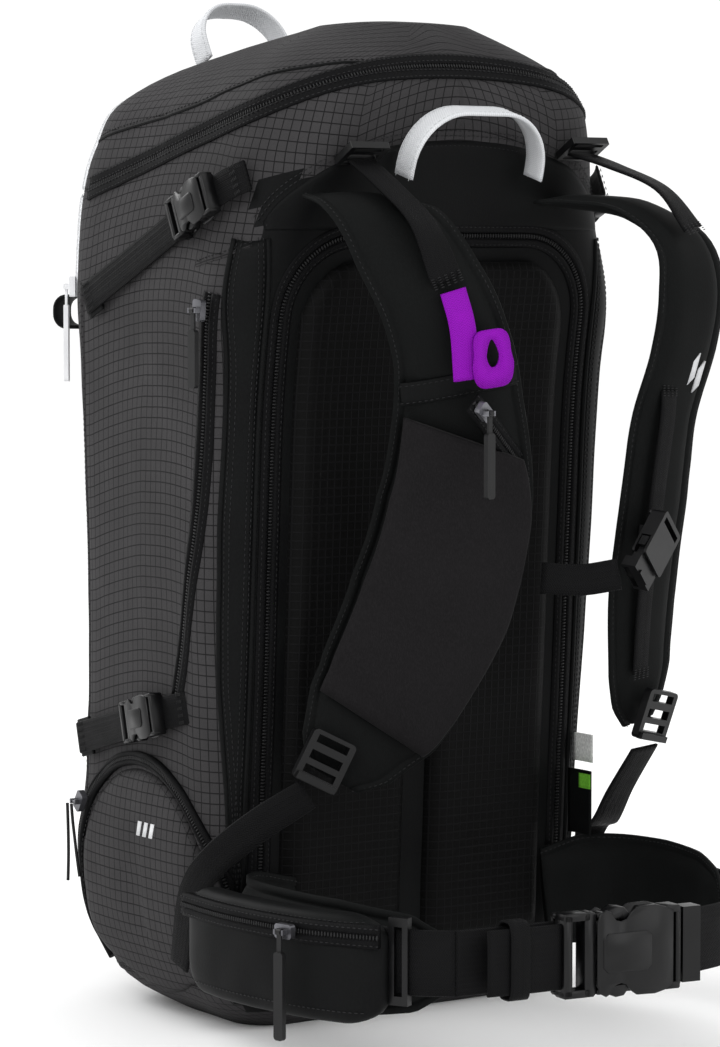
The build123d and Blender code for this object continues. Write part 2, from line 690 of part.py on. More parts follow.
sliders = {
    "lid": Slider((132.9, 60, 518.2), (1, 0, 0), (-0.046, -0.967, 0.253)),
    "side": Slider((-153.4, -83.2, 440), (-1, -0.05, 0), (0, -0.112, 0.994)),
    "front": Slider((-124.3, 103.3, 452), (-0.76, 0.65, 0), (0, 0, 1)),
    "pocket": Slider((-136.6, 78.5, 128), (-0.996, 0.09, 0), (-0.05, -0.57, 0.82)),
    "hip": Slider((-180.9, -210, 91), (-0.98, -0.19, 0), (-0.19, 0.98, 0)),
    "back": Slider((-44, -119.6, 484), (0, -0.966, -0.258), (-1, 0, 0)),
    "strap": Slider((-39.3, -205.2, 381.8), strapZipOut, (-0.77, -0.31, 0.59)),
}


def buildSliders():
    """Every zip slider. Two that the straps hide carry their pulls as one piece."""
    made = {name + "_slider": slider.build() for name, slider in sliders.items()}
    for name in ("lid", "back"):
        made[name + "_slider"] = grouped(made[name + "_slider"], sliders[name].pull(30))
    made["side_pull"] = sliders["side"].pull(46)
    made["front_pull"] = sliders["front"].pull(60, 6.0)
    made["hip_pull"] = sliders["hip"].pull(62)
    made["strap_pull"] = sliders["strap"].pull(50)
    return made


def buildPocketCords():
    """Two limp cord tails tied to the lower pocket's slider."""
    pin = sliders["pocket"].hang.origin
    tails = []
    for shift, drop in ((-2.4, 46), (2.4, 50)):
        top = (pin.X - 3.6, pin.Y + shift, pin.Z - 1)
        middle = (top[0] + 1.6, top[1] + shift * 0.6, top[2] - drop * 0.5)
        low = (top[0] + 3.0, top[1] + shift * 1.9, top[2] - drop)
        path = FilletPolyline(top, middle, low, radius=60)
        tails.append(sweep(Plane(origin=top, z_dir=path % 0) * Circle(1.0), path=path))
    return grouped(*tails)


# ---- write every piece ----
def buildAll():
    nodes = {}
    nodes["bag_shell"], nodes["lid_shell"] = buildShells()
    tapes, patches = buildSkins()
    nodes["lid_zip_upper"], nodes["lid_zip_lower"] = buildLidTapes(tapes)
    nodes["front_zip_upper"], nodes["front_zip_track"] = buildFrontZip(tapes)
    nodes["back_zip_track"] = buildBackZip(tapes)
    nodes["pocket_zip_tracks"] = grouped(buildSideZip(tapes), buildHipPocket()[1], buildStrapZip())
    nodes["back_pads"] = buildBackPads()
    nodes["harness_yoke"] = grouped(buildYoke(patches), *buildEdgeBands(patches))
    nodes["frame_sheet"], nodes["frame_stays"] = buildInsideFrame()
    nodes["lower_pocket"], nodes["lower_pocket_zip"] = buildLowerPocket()
    nodes["haul_loop_back"], nodes["haul_loop_front"] = buildHaulLoops()
    nodes["side_labels"] = buildLabels()
    sockets, webs, anchors, tongues = buildSideStraps()
    nodes["side_buckle_sockets"], nodes["side_strap_webbing"] = sockets, webs
    nodes["sewn_anchors"] = grouped(anchors, buildSkiLoop())
    for name, tongue in tongues.items():
        nodes["tongue_" + name] = tongue
    nodes["shoulder_strap_right"], nodes["shoulder_strap_left"], nodes["strap_pocket"] = buildShoulderStraps()
    nodes["grab_tab"] = buildGrabTab()
    lifters, nodes["lifter_buckles"] = buildLifters()
    nodes["harness_webbing"] = grouped(lifters, buildRails())
    nodes["ladder_lock_right"], nodes["ladder_lock_left"] = buildLadderLocks()
    nodes["lower_webbing_right"], nodes["lower_webbing_left"] = buildLowerWebs()
    nodes["sternum_socket"], nodes["sternum_tongue"], nodes["sternum_webbing"] = buildSternum()
    nodes["hip_wing_right"], nodes["hip_wing_left"] = buildWings()
    nodes["hip_pocket"] = buildHipPocket()[0]
    nodes["hip_webbing"] = grouped(*buildBeltWebs())
    nodes["hip_belt_sliders"], nodes["hip_tail"] = buildBeltSliders(), buildBeltTail()
    nodes["hip_socket"], nodes["hip_tongue"], arms = buildHipBuckle()
    nodes["hip_arm_low"], nodes["hip_arm_high"] = arms
    nodes.update(buildSliders())
    nodes["pocket_cords"] = buildPocketCords()
    return nodes


if __name__ == "__main__":
    os.makedirs("parts", exist_ok=True)
    for nodeName, shape in buildAll().items():
        export_step(shape, "parts/" + nodeName + ".step")
        print(nodeName, round(shape.volume))
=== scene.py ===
import math

import bmesh
import bpy
import numpy as np
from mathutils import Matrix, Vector, noise
from mathutils.bvhtree import BVHTree


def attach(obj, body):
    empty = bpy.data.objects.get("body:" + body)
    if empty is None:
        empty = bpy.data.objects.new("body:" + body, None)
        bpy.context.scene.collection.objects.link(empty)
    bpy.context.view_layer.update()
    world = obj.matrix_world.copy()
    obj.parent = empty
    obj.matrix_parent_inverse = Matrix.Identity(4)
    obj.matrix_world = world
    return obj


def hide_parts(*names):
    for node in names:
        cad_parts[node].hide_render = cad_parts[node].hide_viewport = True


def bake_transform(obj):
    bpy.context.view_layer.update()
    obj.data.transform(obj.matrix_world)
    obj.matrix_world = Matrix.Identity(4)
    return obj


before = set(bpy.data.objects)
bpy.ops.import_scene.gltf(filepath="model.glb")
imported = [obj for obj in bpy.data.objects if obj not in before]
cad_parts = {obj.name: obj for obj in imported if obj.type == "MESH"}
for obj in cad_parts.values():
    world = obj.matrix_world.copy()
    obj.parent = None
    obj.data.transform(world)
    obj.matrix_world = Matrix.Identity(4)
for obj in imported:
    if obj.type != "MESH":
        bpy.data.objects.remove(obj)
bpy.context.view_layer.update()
toMetres = 0.001          # every size below is in millimetres, meshes are in metres
print("stage: frame loaded,", len(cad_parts), "nodes")


# A shader socket that can be used in a Python expression.
class Value:

    def __init__(self, finish, socket):
        self.finish, self.socket = finish, socket

    def maths(self, operation, other=0.0, swap=False):
        first, second = (other, self) if swap else (self, other)
        node = self.finish.add("ShaderNodeMath", {"operation": operation}, {0: first, 1: second})
        return Value(self.finish, node.outputs[0])

    def __add__(self, other):
        return self.maths("ADD", other)

    __radd__ = __add__

    def __mul__(self, other):
        return self.maths("MULTIPLY", other)

    __rmul__ = __mul__

    def __sub__(self, other):
        return self.maths("SUBTRACT", other)

    def __rsub__(self, other):
        return self.maths("SUBTRACT", other, swap=True)

    def __truediv__(self, other):
        return self.maths("DIVIDE", other)

    def larger(self, other):
        return self.maths("MAXIMUM", other)

    def wrapped(self):
        return self.maths("FRACT")

    def size(self):
        return self.maths("ABSOLUTE")


# One material: a Principled shader and the nodes that feed it.
class Finish:

    def __init__(self, name):
        self.material = bpy.data.materials.new(name)
        self.material.use_nodes = True
        self.tree = self.material.node_tree
        self.tree.nodes.clear()
        self.shader = self.add("ShaderNodeBsdfPrincipled")
        output = self.add("ShaderNodeOutputMaterial")
        self.tree.links.new(self.shader.outputs[0], output.inputs[0])

    def add(self, kind, settings=None, values=None):
        node = self.tree.nodes.new(kind)
        for key, value in (settings or {}).items():
            if key == "stops":
                for stop, (place, colour) in zip(node.color_ramp.elements, value):
                    stop.position, stop.color = place, colour
            else:
                setattr(node, key, value)
        for key, value in (values or {}).items():
            if isinstance(value, Value):
                self.tree.links.new(value.socket, node.inputs[key])
            else:
                node.inputs[key].default_value = value
        return node

    def out(self, node, key=0):
        return Value(self, node.outputs[key])

    # Across and along the piece, in millimetres, from its own UV map.
    def cloth(self):
        place = self.add("ShaderNodeUVMap", {"uv_map": "cloth"})
        parts = self.add("ShaderNodeSeparateXYZ", {}, {0: self.out(place)})
        return self.out(parts, 0), self.out(parts, 1)

    def objectPlace(self):
        place = self.add("ShaderNodeTexCoord")
        return self.out(place, "Object")

    # Noise on object coordinates. scale is the number of features in a metre.
    def grain(self, scale, detail=2.0, stretch=(1, 1, 1)):
        mapped = self.add("ShaderNodeMapping", {}, {"Vector": self.objectPlace(), "Scale": stretch})
        node = self.add("ShaderNodeTexNoise", {}, {"Vector": self.out(mapped), "Scale": scale,
                                                   "Detail": detail, "Roughness": 0.55})
        return self.out(node, 0)

    def stretchTo(self, value, low, high, toLow=0.0, toHigh=1.0):
        node = self.add("ShaderNodeMapRange", {"clamp": True}, {0: value, 1: low, 2: high, 3: toLow, 4: toHigh})
        return self.out(node)

    def blendColour(self, factor, first, second):
        node = self.add("ShaderNodeMix", {"data_type": "RGBA"}, {0: factor, 6: rgba(first), 7: rgba(second)})
        return self.out(node, 2)

    def bump(self, height, distance, strength=1.0, under=None):
        values = {"Height": height, "Distance": distance * toMetres, "Strength": strength}
        if under is not None:
            values["Normal"] = under
        return self.out(self.add("ShaderNodeBump", {}, values))

    def finishWith(self, **values):
        names = {"colour": "Base Color", "roughness": "Roughness", "metallic": "Metallic", "normal": "Normal",
                 "sheen": "Sheen Weight", "sheenRoughness": "Sheen Roughness", "specular": "Specular IOR Level",
                 "coat": "Coat Weight"}
        for key, value in values.items():
            socket = self.shader.inputs[names[key]]
            if isinstance(value, Value):
                self.tree.links.new(value.socket, socket)
            else:
                socket.default_value = rgba(value) if key == "colour" else value
        return self.material


# Accepts a socket, a linear grey or an sRGB triple from 0 to 255.
def rgba(colour):
    if isinstance(colour, (Value, float, int)):
        return colour if isinstance(colour, Value) else (colour, colour, colour, 1.0)
    return tuple((c / 255 / 12.92) if c < 11 else ((c / 255 + 0.055) / 1.055) ** 2.4 for c in colour) + (1.0,)


# 1 on the threads of a square grid, 0 between them.
def gridMask(finish, across, along, cell, thread):
    masks = []
    for value in (across, along):
        fromLine = (value / cell).wrapped() - 0.5
        masks.append(finish.stretchTo(fromLine.size(), 0.5 - thread / cell, 0.5 - 0.35 * thread / cell))
    return masks[0].larger(masks[1])


# Plain weave with a square grid of heavier threads.
def ripstopFinish(name, ground, thread, cell=6.5, width=0.62, rough=0.72):
    f = Finish(name)
    across, along = f.cloth()
    mask = gridMask(f, across, along, cell, width)
    patches, fine = f.grain(18, 3.0), f.grain(1500, 1.0)
    lighter = tuple(c * 1.16 for c in ground)
    cloth = f.blendColour(f.stretchTo(patches, 0.35, 0.7), ground, lighter)
    speckled = f.blendColour(f.stretchTo(fine, 0.35, 0.75) * 0.35, cloth, tuple(c * 0.72 for c in ground))
    colour = f.blendColour(mask * 0.85, speckled, thread)
    weave = f.bump(fine, 0.12, 0.5)
    normal = f.bump(mask, 0.25, 0.6, weave)
    return f.finishWith(colour=colour, roughness=f.stretchTo(patches, 0.2, 0.8, rough - 0.06, rough + 0.06),
                        normal=normal, specular=0.08)


# Smooth woven cloth with a faint twill and slow changes of tone.
def plainClothFinish(name, ground, highlight, rough=0.7, ribs=0.0, sheen=0.0):
    f = Finish(name)
    slow, fine = f.grain(22, 3.0), f.grain(1300, 1.0, (1, 1, 0.45))
    colour = f.blendColour(f.stretchTo(slow, 0.3, 0.75), ground, highlight)
    colour = f.blendColour(f.stretchTo(fine, 0.4, 0.8) * 0.3, colour, tuple(c * 1.5 + 4 for c in highlight))
    normal = f.bump(fine, 0.14, 0.55)
    if ribs:
        across, along = f.cloth()
        wave = ((along / ribs).wrapped() - 0.5).size()
        normal = f.bump(wave, 0.35, 0.6, normal)
    return f.finishWith(colour=colour, roughness=f.stretchTo(slow, 0.2, 0.8, rough - 0.08, rough + 0.08),
                        normal=normal, sheen=sheen, sheenRoughness=0.4, specular=0.07)


# Woven webbing: fine ribs across, a herringbone face and firm edges.
def webbingFinish(name, ground, highlight, rough=0.62):
    f = Finish(name)
    across, along = f.cloth()
    lean = ((across / 3.2).wrapped() - 0.5).size() * 3.2
    ribs = (((along + lean) / 1.5).wrapped() - 0.5).size() * 2.0
    columns = ((across / 1.6).wrapped() - 0.5).size() * 2.0
    worn = f.grain(60, 3.0)
    colour = f.blendColour(ribs * 0.55, ground, highlight)
    colour = f.blendColour(f.stretchTo(worn, 0.55, 0.8) * 0.35, colour, highlight)
    normal = f.bump(columns, 0.16, 0.5, f.bump(ribs, 0.28, 0.8))
    return f.finishWith(colour=colour, roughness=f.stretchTo(worn, 0.2, 0.8, rough - 0.07, rough + 0.07),
                        normal=normal, specular=0.09)


# Moulded plastic, rubber or cast metal: fine texture and slightly worn tone.
def mouldedFinish(name, ground, highlight, rough=0.42, metallic=0.0, grain=0.05, coat=0.0):
    f = Finish(name)
    slow, fine = f.grain(45, 3.0), f.grain(2600, 2.0)
    colour = f.blendColour(f.stretchTo(slow, 0.4, 0.8), ground, highlight)
    return f.finishWith(colour=colour, roughness=f.stretchTo(slow, 0.25, 0.75, rough - 0.07, rough + 0.09),
                        metallic=metallic, normal=f.bump(fine, grain, 0.5), specular=0.26, coat=coat)


finishes = {
    "ripstop": ripstopFinish("ripstopCharcoal", (52, 51, 52), (10, 10, 11), width=0.5),
    "padCloth": ripstopFinish("padRipstop", (5, 5, 5), (13, 13, 14), cell=5.2, width=0.6, rough=0.6),
    "nylon": plainClothFinish("blackNylon", (9, 9, 10), (14, 15, 15), 0.55),
    "liner": plainClothFinish("linerCloth", (58, 58, 60), (70, 70, 72), 0.65),
    "softshell": plainClothFinish("softshell", (20, 19, 20), (25, 24, 25), 0.85, sheen=0.02),
    "foamCloth": plainClothFinish("strapCloth", (10, 11, 11), (15, 16, 16), 0.7),
    "zipTape": plainClothFinish("zipTape", (6, 6, 7), (12, 12, 13), 0.6, ribs=1.1),
    "teeth": mouldedFinish("zipTeeth", (14, 14, 15), (30, 30, 31), 0.4),
    "paleZip": plainClothFinish("paleZip", (214, 215, 217), (226, 227, 229), 0.55, ribs=1.1),
    "paleTeeth": mouldedFinish("paleTeeth", (196, 197, 199), (220, 221, 223), 0.4),
    "webbing": webbingFinish("webbing", (6, 6, 7), (19, 19, 20)),
    "paleWebbing": webbingFinish("paleWebbing", (196, 198, 201), (236, 237, 239)),
    "purpleWebbing": webbingFinish("purpleWebbing", (118, 8, 152), (150, 22, 182)),
    "thread": mouldedFinish("blackThread", (15, 15, 16), (30, 30, 32), 0.6),
    "paleThread": mouldedFinish("paleThread", (180, 182, 184), (215, 216, 218), 0.6),
    "plastic": mouldedFinish("bucklePlastic", (9, 9, 10), (16, 16, 17), 0.34),
    "metal": mouldedFinish("sliderMetal", (84, 84, 88), (128, 128, 133), 0.34, metallic=0.85),
    "paleSlider": mouldedFinish("paleSlider", (222, 223, 225), (238, 238, 240), 0.35),
    "rubber": mouldedFinish("pullRubber", (13, 13, 14), (26, 26, 27), 0.5),
    "palePull": mouldedFinish("palePull", (218, 219, 221), (236, 236, 238), 0.5),
    "label": plainClothFinish("labelCloth", (205, 206, 204), (222, 223, 220), 0.6),
    "labelGreen": plainClothFinish("labelGreen", (92, 160, 44), (112, 182, 60), 0.6),
    "mark": mouldedFinish("printedMark", (196, 197, 199), (222, 222, 224), 0.5),
    "sheetPlastic": mouldedFinish("sheetPlastic", (30, 30, 32), (44, 44, 46), 0.4),
    "alloy": mouldedFinish("stayAlloy", (150, 152, 156), (176, 178, 182), 0.3, metallic=1.0),
}
print("stage: finishes made")


def madeObject(name, mesh, finish):
    obj = bpy.data.objects.new(name, mesh)
    bpy.context.scene.collection.objects.link(obj)
    if finish:
        mesh.materials.append(finishes[finish])
    return obj


# Attaches a finished piece to its body and hides the nodes it stands in for.
def settle(piece, body, slot, *nodes, fill=None):
    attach(piece, body)
    if nodes:
        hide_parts(*nodes)


# A smooth-shaded piece from points in millimetres and a UV for each point.
def meshPiece(name, points, faces, uvs, finish, fix=True):
    mesh = bpy.data.meshes.new(name)
    mesh.from_pydata([tuple(c * toMetres for c in p) for p in points], [], faces)
    if uvs is not None:
        layer = mesh.uv_layers.new(name="cloth")
        places = np.array([uvs[loop.vertex_index] for loop in mesh.loops], dtype=np.float32)
        layer.data.foreach_set("uv", places.ravel())
    obj = madeObject(name, mesh, finish)
    if fix:
        bm = bmesh.new()
        bm.from_mesh(mesh)
        bmesh.ops.recalc_face_normals(bm, faces=bm.faces)
        bm.to_mesh(mesh)
        bm.free()
    mesh.polygons.foreach_set("use_smooth", [True] * len(mesh.polygons))
    mesh.update()
    return obj


# The object with its modifiers turned into its mesh.
def applied(obj):
    graph = bpy.context.evaluated_depsgraph_get()
    mesh = bpy.data.meshes.new_from_object(obj.evaluated_get(graph))
    old = obj.data
    obj.modifiers.clear()
    obj.data = mesh
    bpy.data.meshes.remove(old)
    return obj


# Several pieces as one object, keeping their finishes.
def joined(objects):
    first = objects[0]
    with bpy.context.temp_override(active_object=first, object=first, selected_objects=objects,
                                   selected_editable_objects=objects):
        bpy.ops.object.join()
    return first


# A Catmull-Rom line through points, resampled to even steps.
def smoothPath(points, spacing, closed=False):
    points = np.array([tuple(p) for p in points], float)
    dense = []
    for i in range(len(points) - 1):
        a = points[i - 1] if i else 2 * points[0] - points[1]
        b, c = points[i], points[i + 1]
        d = points[i + 2] if i + 2 < len(points) else 2 * points[-1] - points[-2]
        for t in np.linspace(0, 1, 24, endpoint=False):
            dense.append(0.5 * (2 * b + (c - a) * t + (2 * a - 5 * b + 4 * c - d) * t * t
                                + (3 * b - a - 3 * c + d) * t ** 3))
    dense.append(points[-1])
    return evenSteps(np.array(dense), spacing)


def evenSteps(line, spacing):
    steps = np.linalg.norm(np.diff(line, axis=0), axis=1)
    reach = np.concatenate([[0], np.cumsum(steps)])
    count = max(int(round(reach[-1] / spacing)), 2)
    wanted = np.linspace(0, reach[-1], count + 1)
    return np.stack([np.interp(wanted, reach, line[:, k]) for k in range(line.shape[1])], axis=1)


def unit(v):
    length = np.linalg.norm(v)
    return v / length if length > 1e-9 else v


def tangents(line):
    ahead = np.gradient(line, axis=0)
    return ahead / np.maximum(np.linalg.norm(ahead, axis=1, keepdims=True), 1e-9)


# A closed solid: a loop of (across, out) points carried along a line. loops: one loop or one per
# point.
def sweptPiece(name, line, acrosses, outs, loops, finish):
    line = np.array(line, float)
    reach = np.concatenate([[0], np.cumsum(np.linalg.norm(np.diff(line, axis=0), axis=1))])
    points, uvs = [], []
    size = len(loops[0]) if isinstance(loops[0][0], (tuple, list, np.ndarray)) else len(loops)
    for i, place in enumerate(line):
        loop = loops[i] if isinstance(loops[0][0], (tuple, list, np.ndarray)) else loops
        for a, o in loop:
            points.append(place + acrosses[i] * a + outs[i] * o)
            uvs.append((a, reach[i]))
    faces = []
    for i in range(len(line) - 1):
        for j in range(size):
            k = (j + 1) % size
            faces.append((i * size + j, i * size + k, (i + 1) * size + k, (i + 1) * size + j))
    last = (len(line) - 1) * size
    faces.append(tuple(range(size - 1, -1, -1)))
    faces.append(tuple(last + j for j in range(size)))
    return meshPiece(name, points, faces, uvs, finish)


# The cross-section of webbing, with rounded edges.
def webLoop(width, thickness, lift=0.0):
    half, edge = width / 2, thickness / 2
    inner = half - edge * 0.8
    row = [(-half, 0), (-inner, edge), (-half * 0.35, edge * 1.05), (half * 0.35, edge * 1.05), (inner, edge),
           (half, 0), (inner, -edge), (half * 0.35, -edge), (-half * 0.35, -edge), (-inner, -edge)]
    return [(a, o + lift) for a, o in row]


# Even points, across and outward directions of a strap from its stations.
def ribbonAxes(places, acrosses, spacing):
    both = np.hstack([np.array(places, float), np.array([unit(np.array(a, float)) for a in acrosses])])
    dense = []
    for i in range(len(both) - 1):
        a = both[i - 1] if i else 2 * both[0] - both[1]
        b, c = both[i], both[i + 1]
        d = both[i + 2] if i + 2 < len(both) else 2 * both[-1] - both[-2]
        for t in np.linspace(0, 1, 24, endpoint=False):
            dense.append(0.5 * (2 * b + (c - a) * t + (2 * a - 5 * b + 4 * c - d) * t * t
                                + (3 * b - a - 3 * c + d) * t ** 3))
    dense.append(both[-1])
    dense = np.array(dense)
    reach = np.concatenate([[0], np.cumsum(np.linalg.norm(np.diff(dense[:, :3], axis=0), axis=1))])
    count = max(int(round(reach[-1] / spacing)), 2)
    wanted = np.linspace(0, reach[-1], count + 1)
    even = np.stack([np.interp(wanted, reach, dense[:, k]) for k in range(6)], axis=1)
    line = even[:, :3]
    along = tangents(line)
    across = [unit(a - t * np.dot(a, t)) for a, t in zip(even[:, 3:], along)]
    outs = [np.cross(t, a) for a, t in zip(across, along)]
    if np.mean([o[1] for o in outs]) > 0:      # outward is away from the bag's back
        outs = [-o for o in outs]
    marks = np.interp(wanted, reach[::24], np.arange(len(both)))
    return line, across, outs, marks


# A strap of even width through (place, across) stations.
def webPiece(name, stations, width, thickness=2.0, finish="webbing", spacing=4.0):
    line, across, outs, _ = ribbonAxes([s[0] for s in stations], [s[1] for s in stations], spacing)
    piece = sweptPiece(name, line, across, outs, webLoop(width, thickness), finish)
    return piece, line, across, outs


runs = {}          # (body, kind) -> list of (points, outward directions)


def sew(body, kind, points, outs):
    if len(points) > 1:
        runs.setdefault((body, kind), []).append((np.array(points), np.array(outs)))


# Puts small rounded bars along every run of a path, each turned to the run and the surface.
def rowTree(name):
    tree = bpy.data.node_groups.new(name, "GeometryNodeTree")
    face = tree.interface
    face.new_socket("Geometry", in_out="INPUT", socket_type="NodeSocketGeometry")
    for label, value in (("Spacing", 0.003), ("Along", 0.002), ("Across", 0.0006), ("High", 0.0005)):
        socket = face.new_socket(label, in_out="INPUT", socket_type="NodeSocketFloat")
        socket.default_value = value
    face.new_socket("Finish", in_out="INPUT", socket_type="NodeSocketMaterial")
    face.new_socket("Geometry", in_out="OUTPUT", socket_type="NodeSocketGeometry")
    new, link = tree.nodes.new, tree.links.new
    start, end = new("NodeGroupInput"), new("NodeGroupOutput")
    curve, spots = new("GeometryNodeMeshToCurve"), new("GeometryNodeCurveToPoints")
    spots.mode = "LENGTH"
    link(start.outputs["Geometry"], curve.inputs[0])
    link(curve.outputs[0], spots.inputs[0])
    link(start.outputs["Spacing"], spots.inputs["Length"])
    out = new("GeometryNodeInputNamedAttribute")
    out.data_type = "FLOAT_VECTOR"
    out.inputs["Name"].default_value = "outward"
    turn = new("FunctionNodeAxesToRotation")
    turn.primary_axis, turn.secondary_axis = "Z", "X"
    link(out.outputs["Attribute"], turn.inputs["Primary Axis"])
    link(spots.outputs["Tangent"], turn.inputs["Secondary Axis"])
    bar, size = new("GeometryNodeMeshUVSphere"), new("ShaderNodeCombineXYZ")
    bar.inputs["Segments"].default_value = 6
    bar.inputs["Rings"].default_value = 4
    bar.inputs["Radius"].default_value = 0.5
    for k, label in enumerate(("Along", "Across", "High")):
        link(start.outputs[label], size.inputs[k])
    placed = new("GeometryNodeInstanceOnPoints")
    link(spots.outputs["Points"], placed.inputs["Points"])
    link(bar.outputs["Mesh"], placed.inputs["Instance"])
    link(turn.outputs["Rotation"], placed.inputs["Rotation"])
    link(size.outputs[0], placed.inputs["Scale"])
    real, painted = new("GeometryNodeRealizeInstances"), new("GeometryNodeSetMaterial")
    link(placed.outputs[0], real.inputs[0])
    link(real.outputs[0], painted.inputs[0])
    link(start.outputs["Finish"], painted.inputs["Material"])
    link(painted.outputs[0], end.inputs[0])
    return tree


rowKinds = {      # spacing, along, across, high in millimetres, finish, record slot
    "stitch": (3.4, 2.5, 0.7, 0.6, "thread", "black_nylon"),
    "paleStitch": (3.4, 2.5, 0.8, 0.6, "paleThread", "pale_webbing"),
    "teeth": (2.0, 1.35, 3.6, 1.7, "teeth", "zip_tape"),
    "paleTeeth": (2.0, 1.35, 3.4, 1.7, "paleTeeth", "pale_zip"),
}


# One piece of stitches or teeth for each body and kind.
def makeRows():
    tree = rowTree("rowOfBars")
    sockets = {s.name: s.identifier for s in tree.interface.items_tree if s.in_out == "INPUT"}
    for (body, kind), lines in runs.items():
        spacing, along, across, high, finish, slot = rowKinds[kind]
        points, edges, outs = [], [], []
        for line, out in lines:
            edges += [(len(points) + i, len(points) + i + 1) for i in range(len(line) - 1)]
            points += [tuple(p * toMetres) for p in line]
            outs += [tuple(o) for o in out]
        mesh = bpy.data.meshes.new(kind)
        mesh.from_pydata(points, edges, [])
        layer = mesh.attributes.new("outward", "FLOAT_VECTOR", "POINT")
        layer.data.foreach_set("vector", np.array(outs, dtype=np.float32).ravel())
        obj = madeObject(f"{kind}_{body}", mesh, None)
        rows = obj.modifiers.new("rows", "NODES")
        rows.node_group = tree
        for label, value in (("Spacing", spacing), ("Along", along), ("Across", across), ("High", high)):
            rows[sockets[label]] = value * toMetres
        rows[sockets["Finish"]] = finishes[finish]
        applied(obj)
        obj.data.polygons.foreach_set("use_smooth", [True] * len(obj.data.polygons))
        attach(obj, body)


bag = {
    "stations": [  # height, back, front, half width at back and front, corner radius at back and front
        (0, -58, 60, 100, 92, 24, 44), (12, -70, 84, 120, 110, 28, 48), (40, -80, 110, 134, 124, 30, 54),
        (90, -84, 124, 142, 131, 30, 56), (150, -87, 121, 145, 129, 30, 54), (200, -90, 117, 147, 128, 30, 52),
        (300, -95, 113, 151, 128, 30, 50), (400, -102, 115, 152, 131, 30, 50), (450, -110, 118, 151, 133, 32, 50),
        (480, -116, 120, 143, 133, 38, 52), (510, -124, 121, 134, 131, 46, 54), (540, -132, 116, 127, 126, 50, 58),
        (570, -132, 100, 118, 114, 52, 60), (586, -127, 66, 104, 94, 52, 54), (600, -116, 16, 84, 66, 50, 44),
        (612, -100, -30, 56, 40, 34, 30)],
    "cornerSteps": 9, "sideSteps": (44, 34, 40, 34),     # back, wearer's left, front, wearer's right
    "seamRise": 585.0, "seamSide": 0.00124, "seamSlope": 0.25, "seamBackY": -125.0, "seamGap": 0.4,
    "rowStep": 5.0, "stretchFrom": 440.0, "stretchRows": 22, "lidRows": 22,
    "wall": 2.4, "sag": 1.5, "crease": 1.1, "seed": 7.3,
}
stationRows = np.array(bag["stations"], float)
seamY0 = bag["seamBackY"]


def stationSlopes():
    z, v = stationRows[:, 0], stationRows[:, 1:]
    step = np.diff(z)[:, None]
    rise = np.diff(v, axis=0) / step
    slopes = np.vstack([rise[:1], (rise[1:] * step[:-1] + rise[:-1] * step[1:]) / (step[1:] + step[:-1]), rise[-1:]])
    return slopes


slopes = stationSlopes()


# Smooth section values at a height.
def sectionAt(z):
    heights = stationRows[:, 0]
    z = min(max(z, heights[0]), heights[-1])
    i = min(int(np.searchsorted(heights, z, side="right")) - 1, len(heights) - 2)
    h = heights[i + 1] - heights[i]
    t = (z - heights[i]) / h
    a, b, m, n = stationRows[i, 1:], stationRows[i + 1, 1:], slopes[i] * h, slopes[i + 1] * h
    return (2 * t ** 3 - 3 * t ** 2 + 1) * a + (t ** 3 - 2 * t ** 2 + t) * m + (3 * t ** 2 - 2 * t ** 3) * b \
        + (t ** 3 - t ** 2) * n


# The bag's outline at a height: rounded corners joined by straight sides.
def outline(z):
    back, front, backHalf, frontHalf, backRadius, frontRadius = sectionAt(z)
    corners = np.array([(-backHalf, back), (backHalf, back), (frontHalf, front), (-frontHalf, front)])
    radii = (backRadius, backRadius, frontRadius, frontRadius)
    arcs = []
    for k in range(4):
        p = corners[k]
        before, after = unit(corners[k - 1] - p), unit(corners[(k + 1) % 4] - p)
        half = math.acos(np.dot(before, after)) / 2
        centre = p + unit(before + after) * radii[k] / math.sin(half)
        start = p + before * radii[k] / math.tan(half) - centre
        turn = math.pi - 2 * half
        angles = np.linspace(0, turn, bag["cornerSteps"] + 1)
        arcs.append(np.stack([centre[0] + start[0] * np.cos(angles) - start[1] * np.sin(angles),
                              centre[1] + start[0] * np.sin(angles) + start[1] * np.cos(angles)], axis=1))
    ring = []
    for k in range(4):
        ring.append(arcs[k][:-1])
        ring.append(arcs[k][-1] + (arcs[(k + 1) % 4][0] - arcs[k][-1])
                    * np.linspace(0, 1, bag["sideSteps"][k], endpoint=False)[:, None])
    return np.vstack(ring)


ringSize = 4 * bag["cornerSteps"] + sum(bag["sideSteps"])
outlineMemory = {}


def ringAt(z):
    key = round(z, 2)
    if key not in outlineMemory:
        outlineMemory[key] = outline(key)
    return outlineMemory[key]


def seamHeight(x, y):
    return bag["seamRise"] - bag["seamSide"] * x * x - bag["seamSlope"] * (y - seamY0)


def seamOfColumn(c):
    z = 520.0
    for _ in range(12):
        x, y = ringAt(z)[c]
        z = seamHeight(x, y)
    return z


seamOf = [seamOfColumn(c) for c in range(ringSize)]


# How far the cloth stands in or out: slow sag, and creases that run up the bag.
def wrinkle(place, outward):
    x, y, z = place
    seed = bag["seed"]
    around = math.atan2(y, x) * 150
    slow = noise.noise(Vector((x / 85 + seed, y / 85, z / 110)))
    folds = noise.noise(Vector((around / 42, z / 95 + seed, 1.7))) + 0.6 * noise.noise(
        Vector(((around + z * 0.5) / 20, (z - around * 0.2) / 62, seed)))
    calm = min(1.0, z / 60)
    onBack = max(0.0, -outward[1])
    return (slow * bag["sag"] + folds * bag["crease"]) * calm * (1 - 0.85 * onBack)


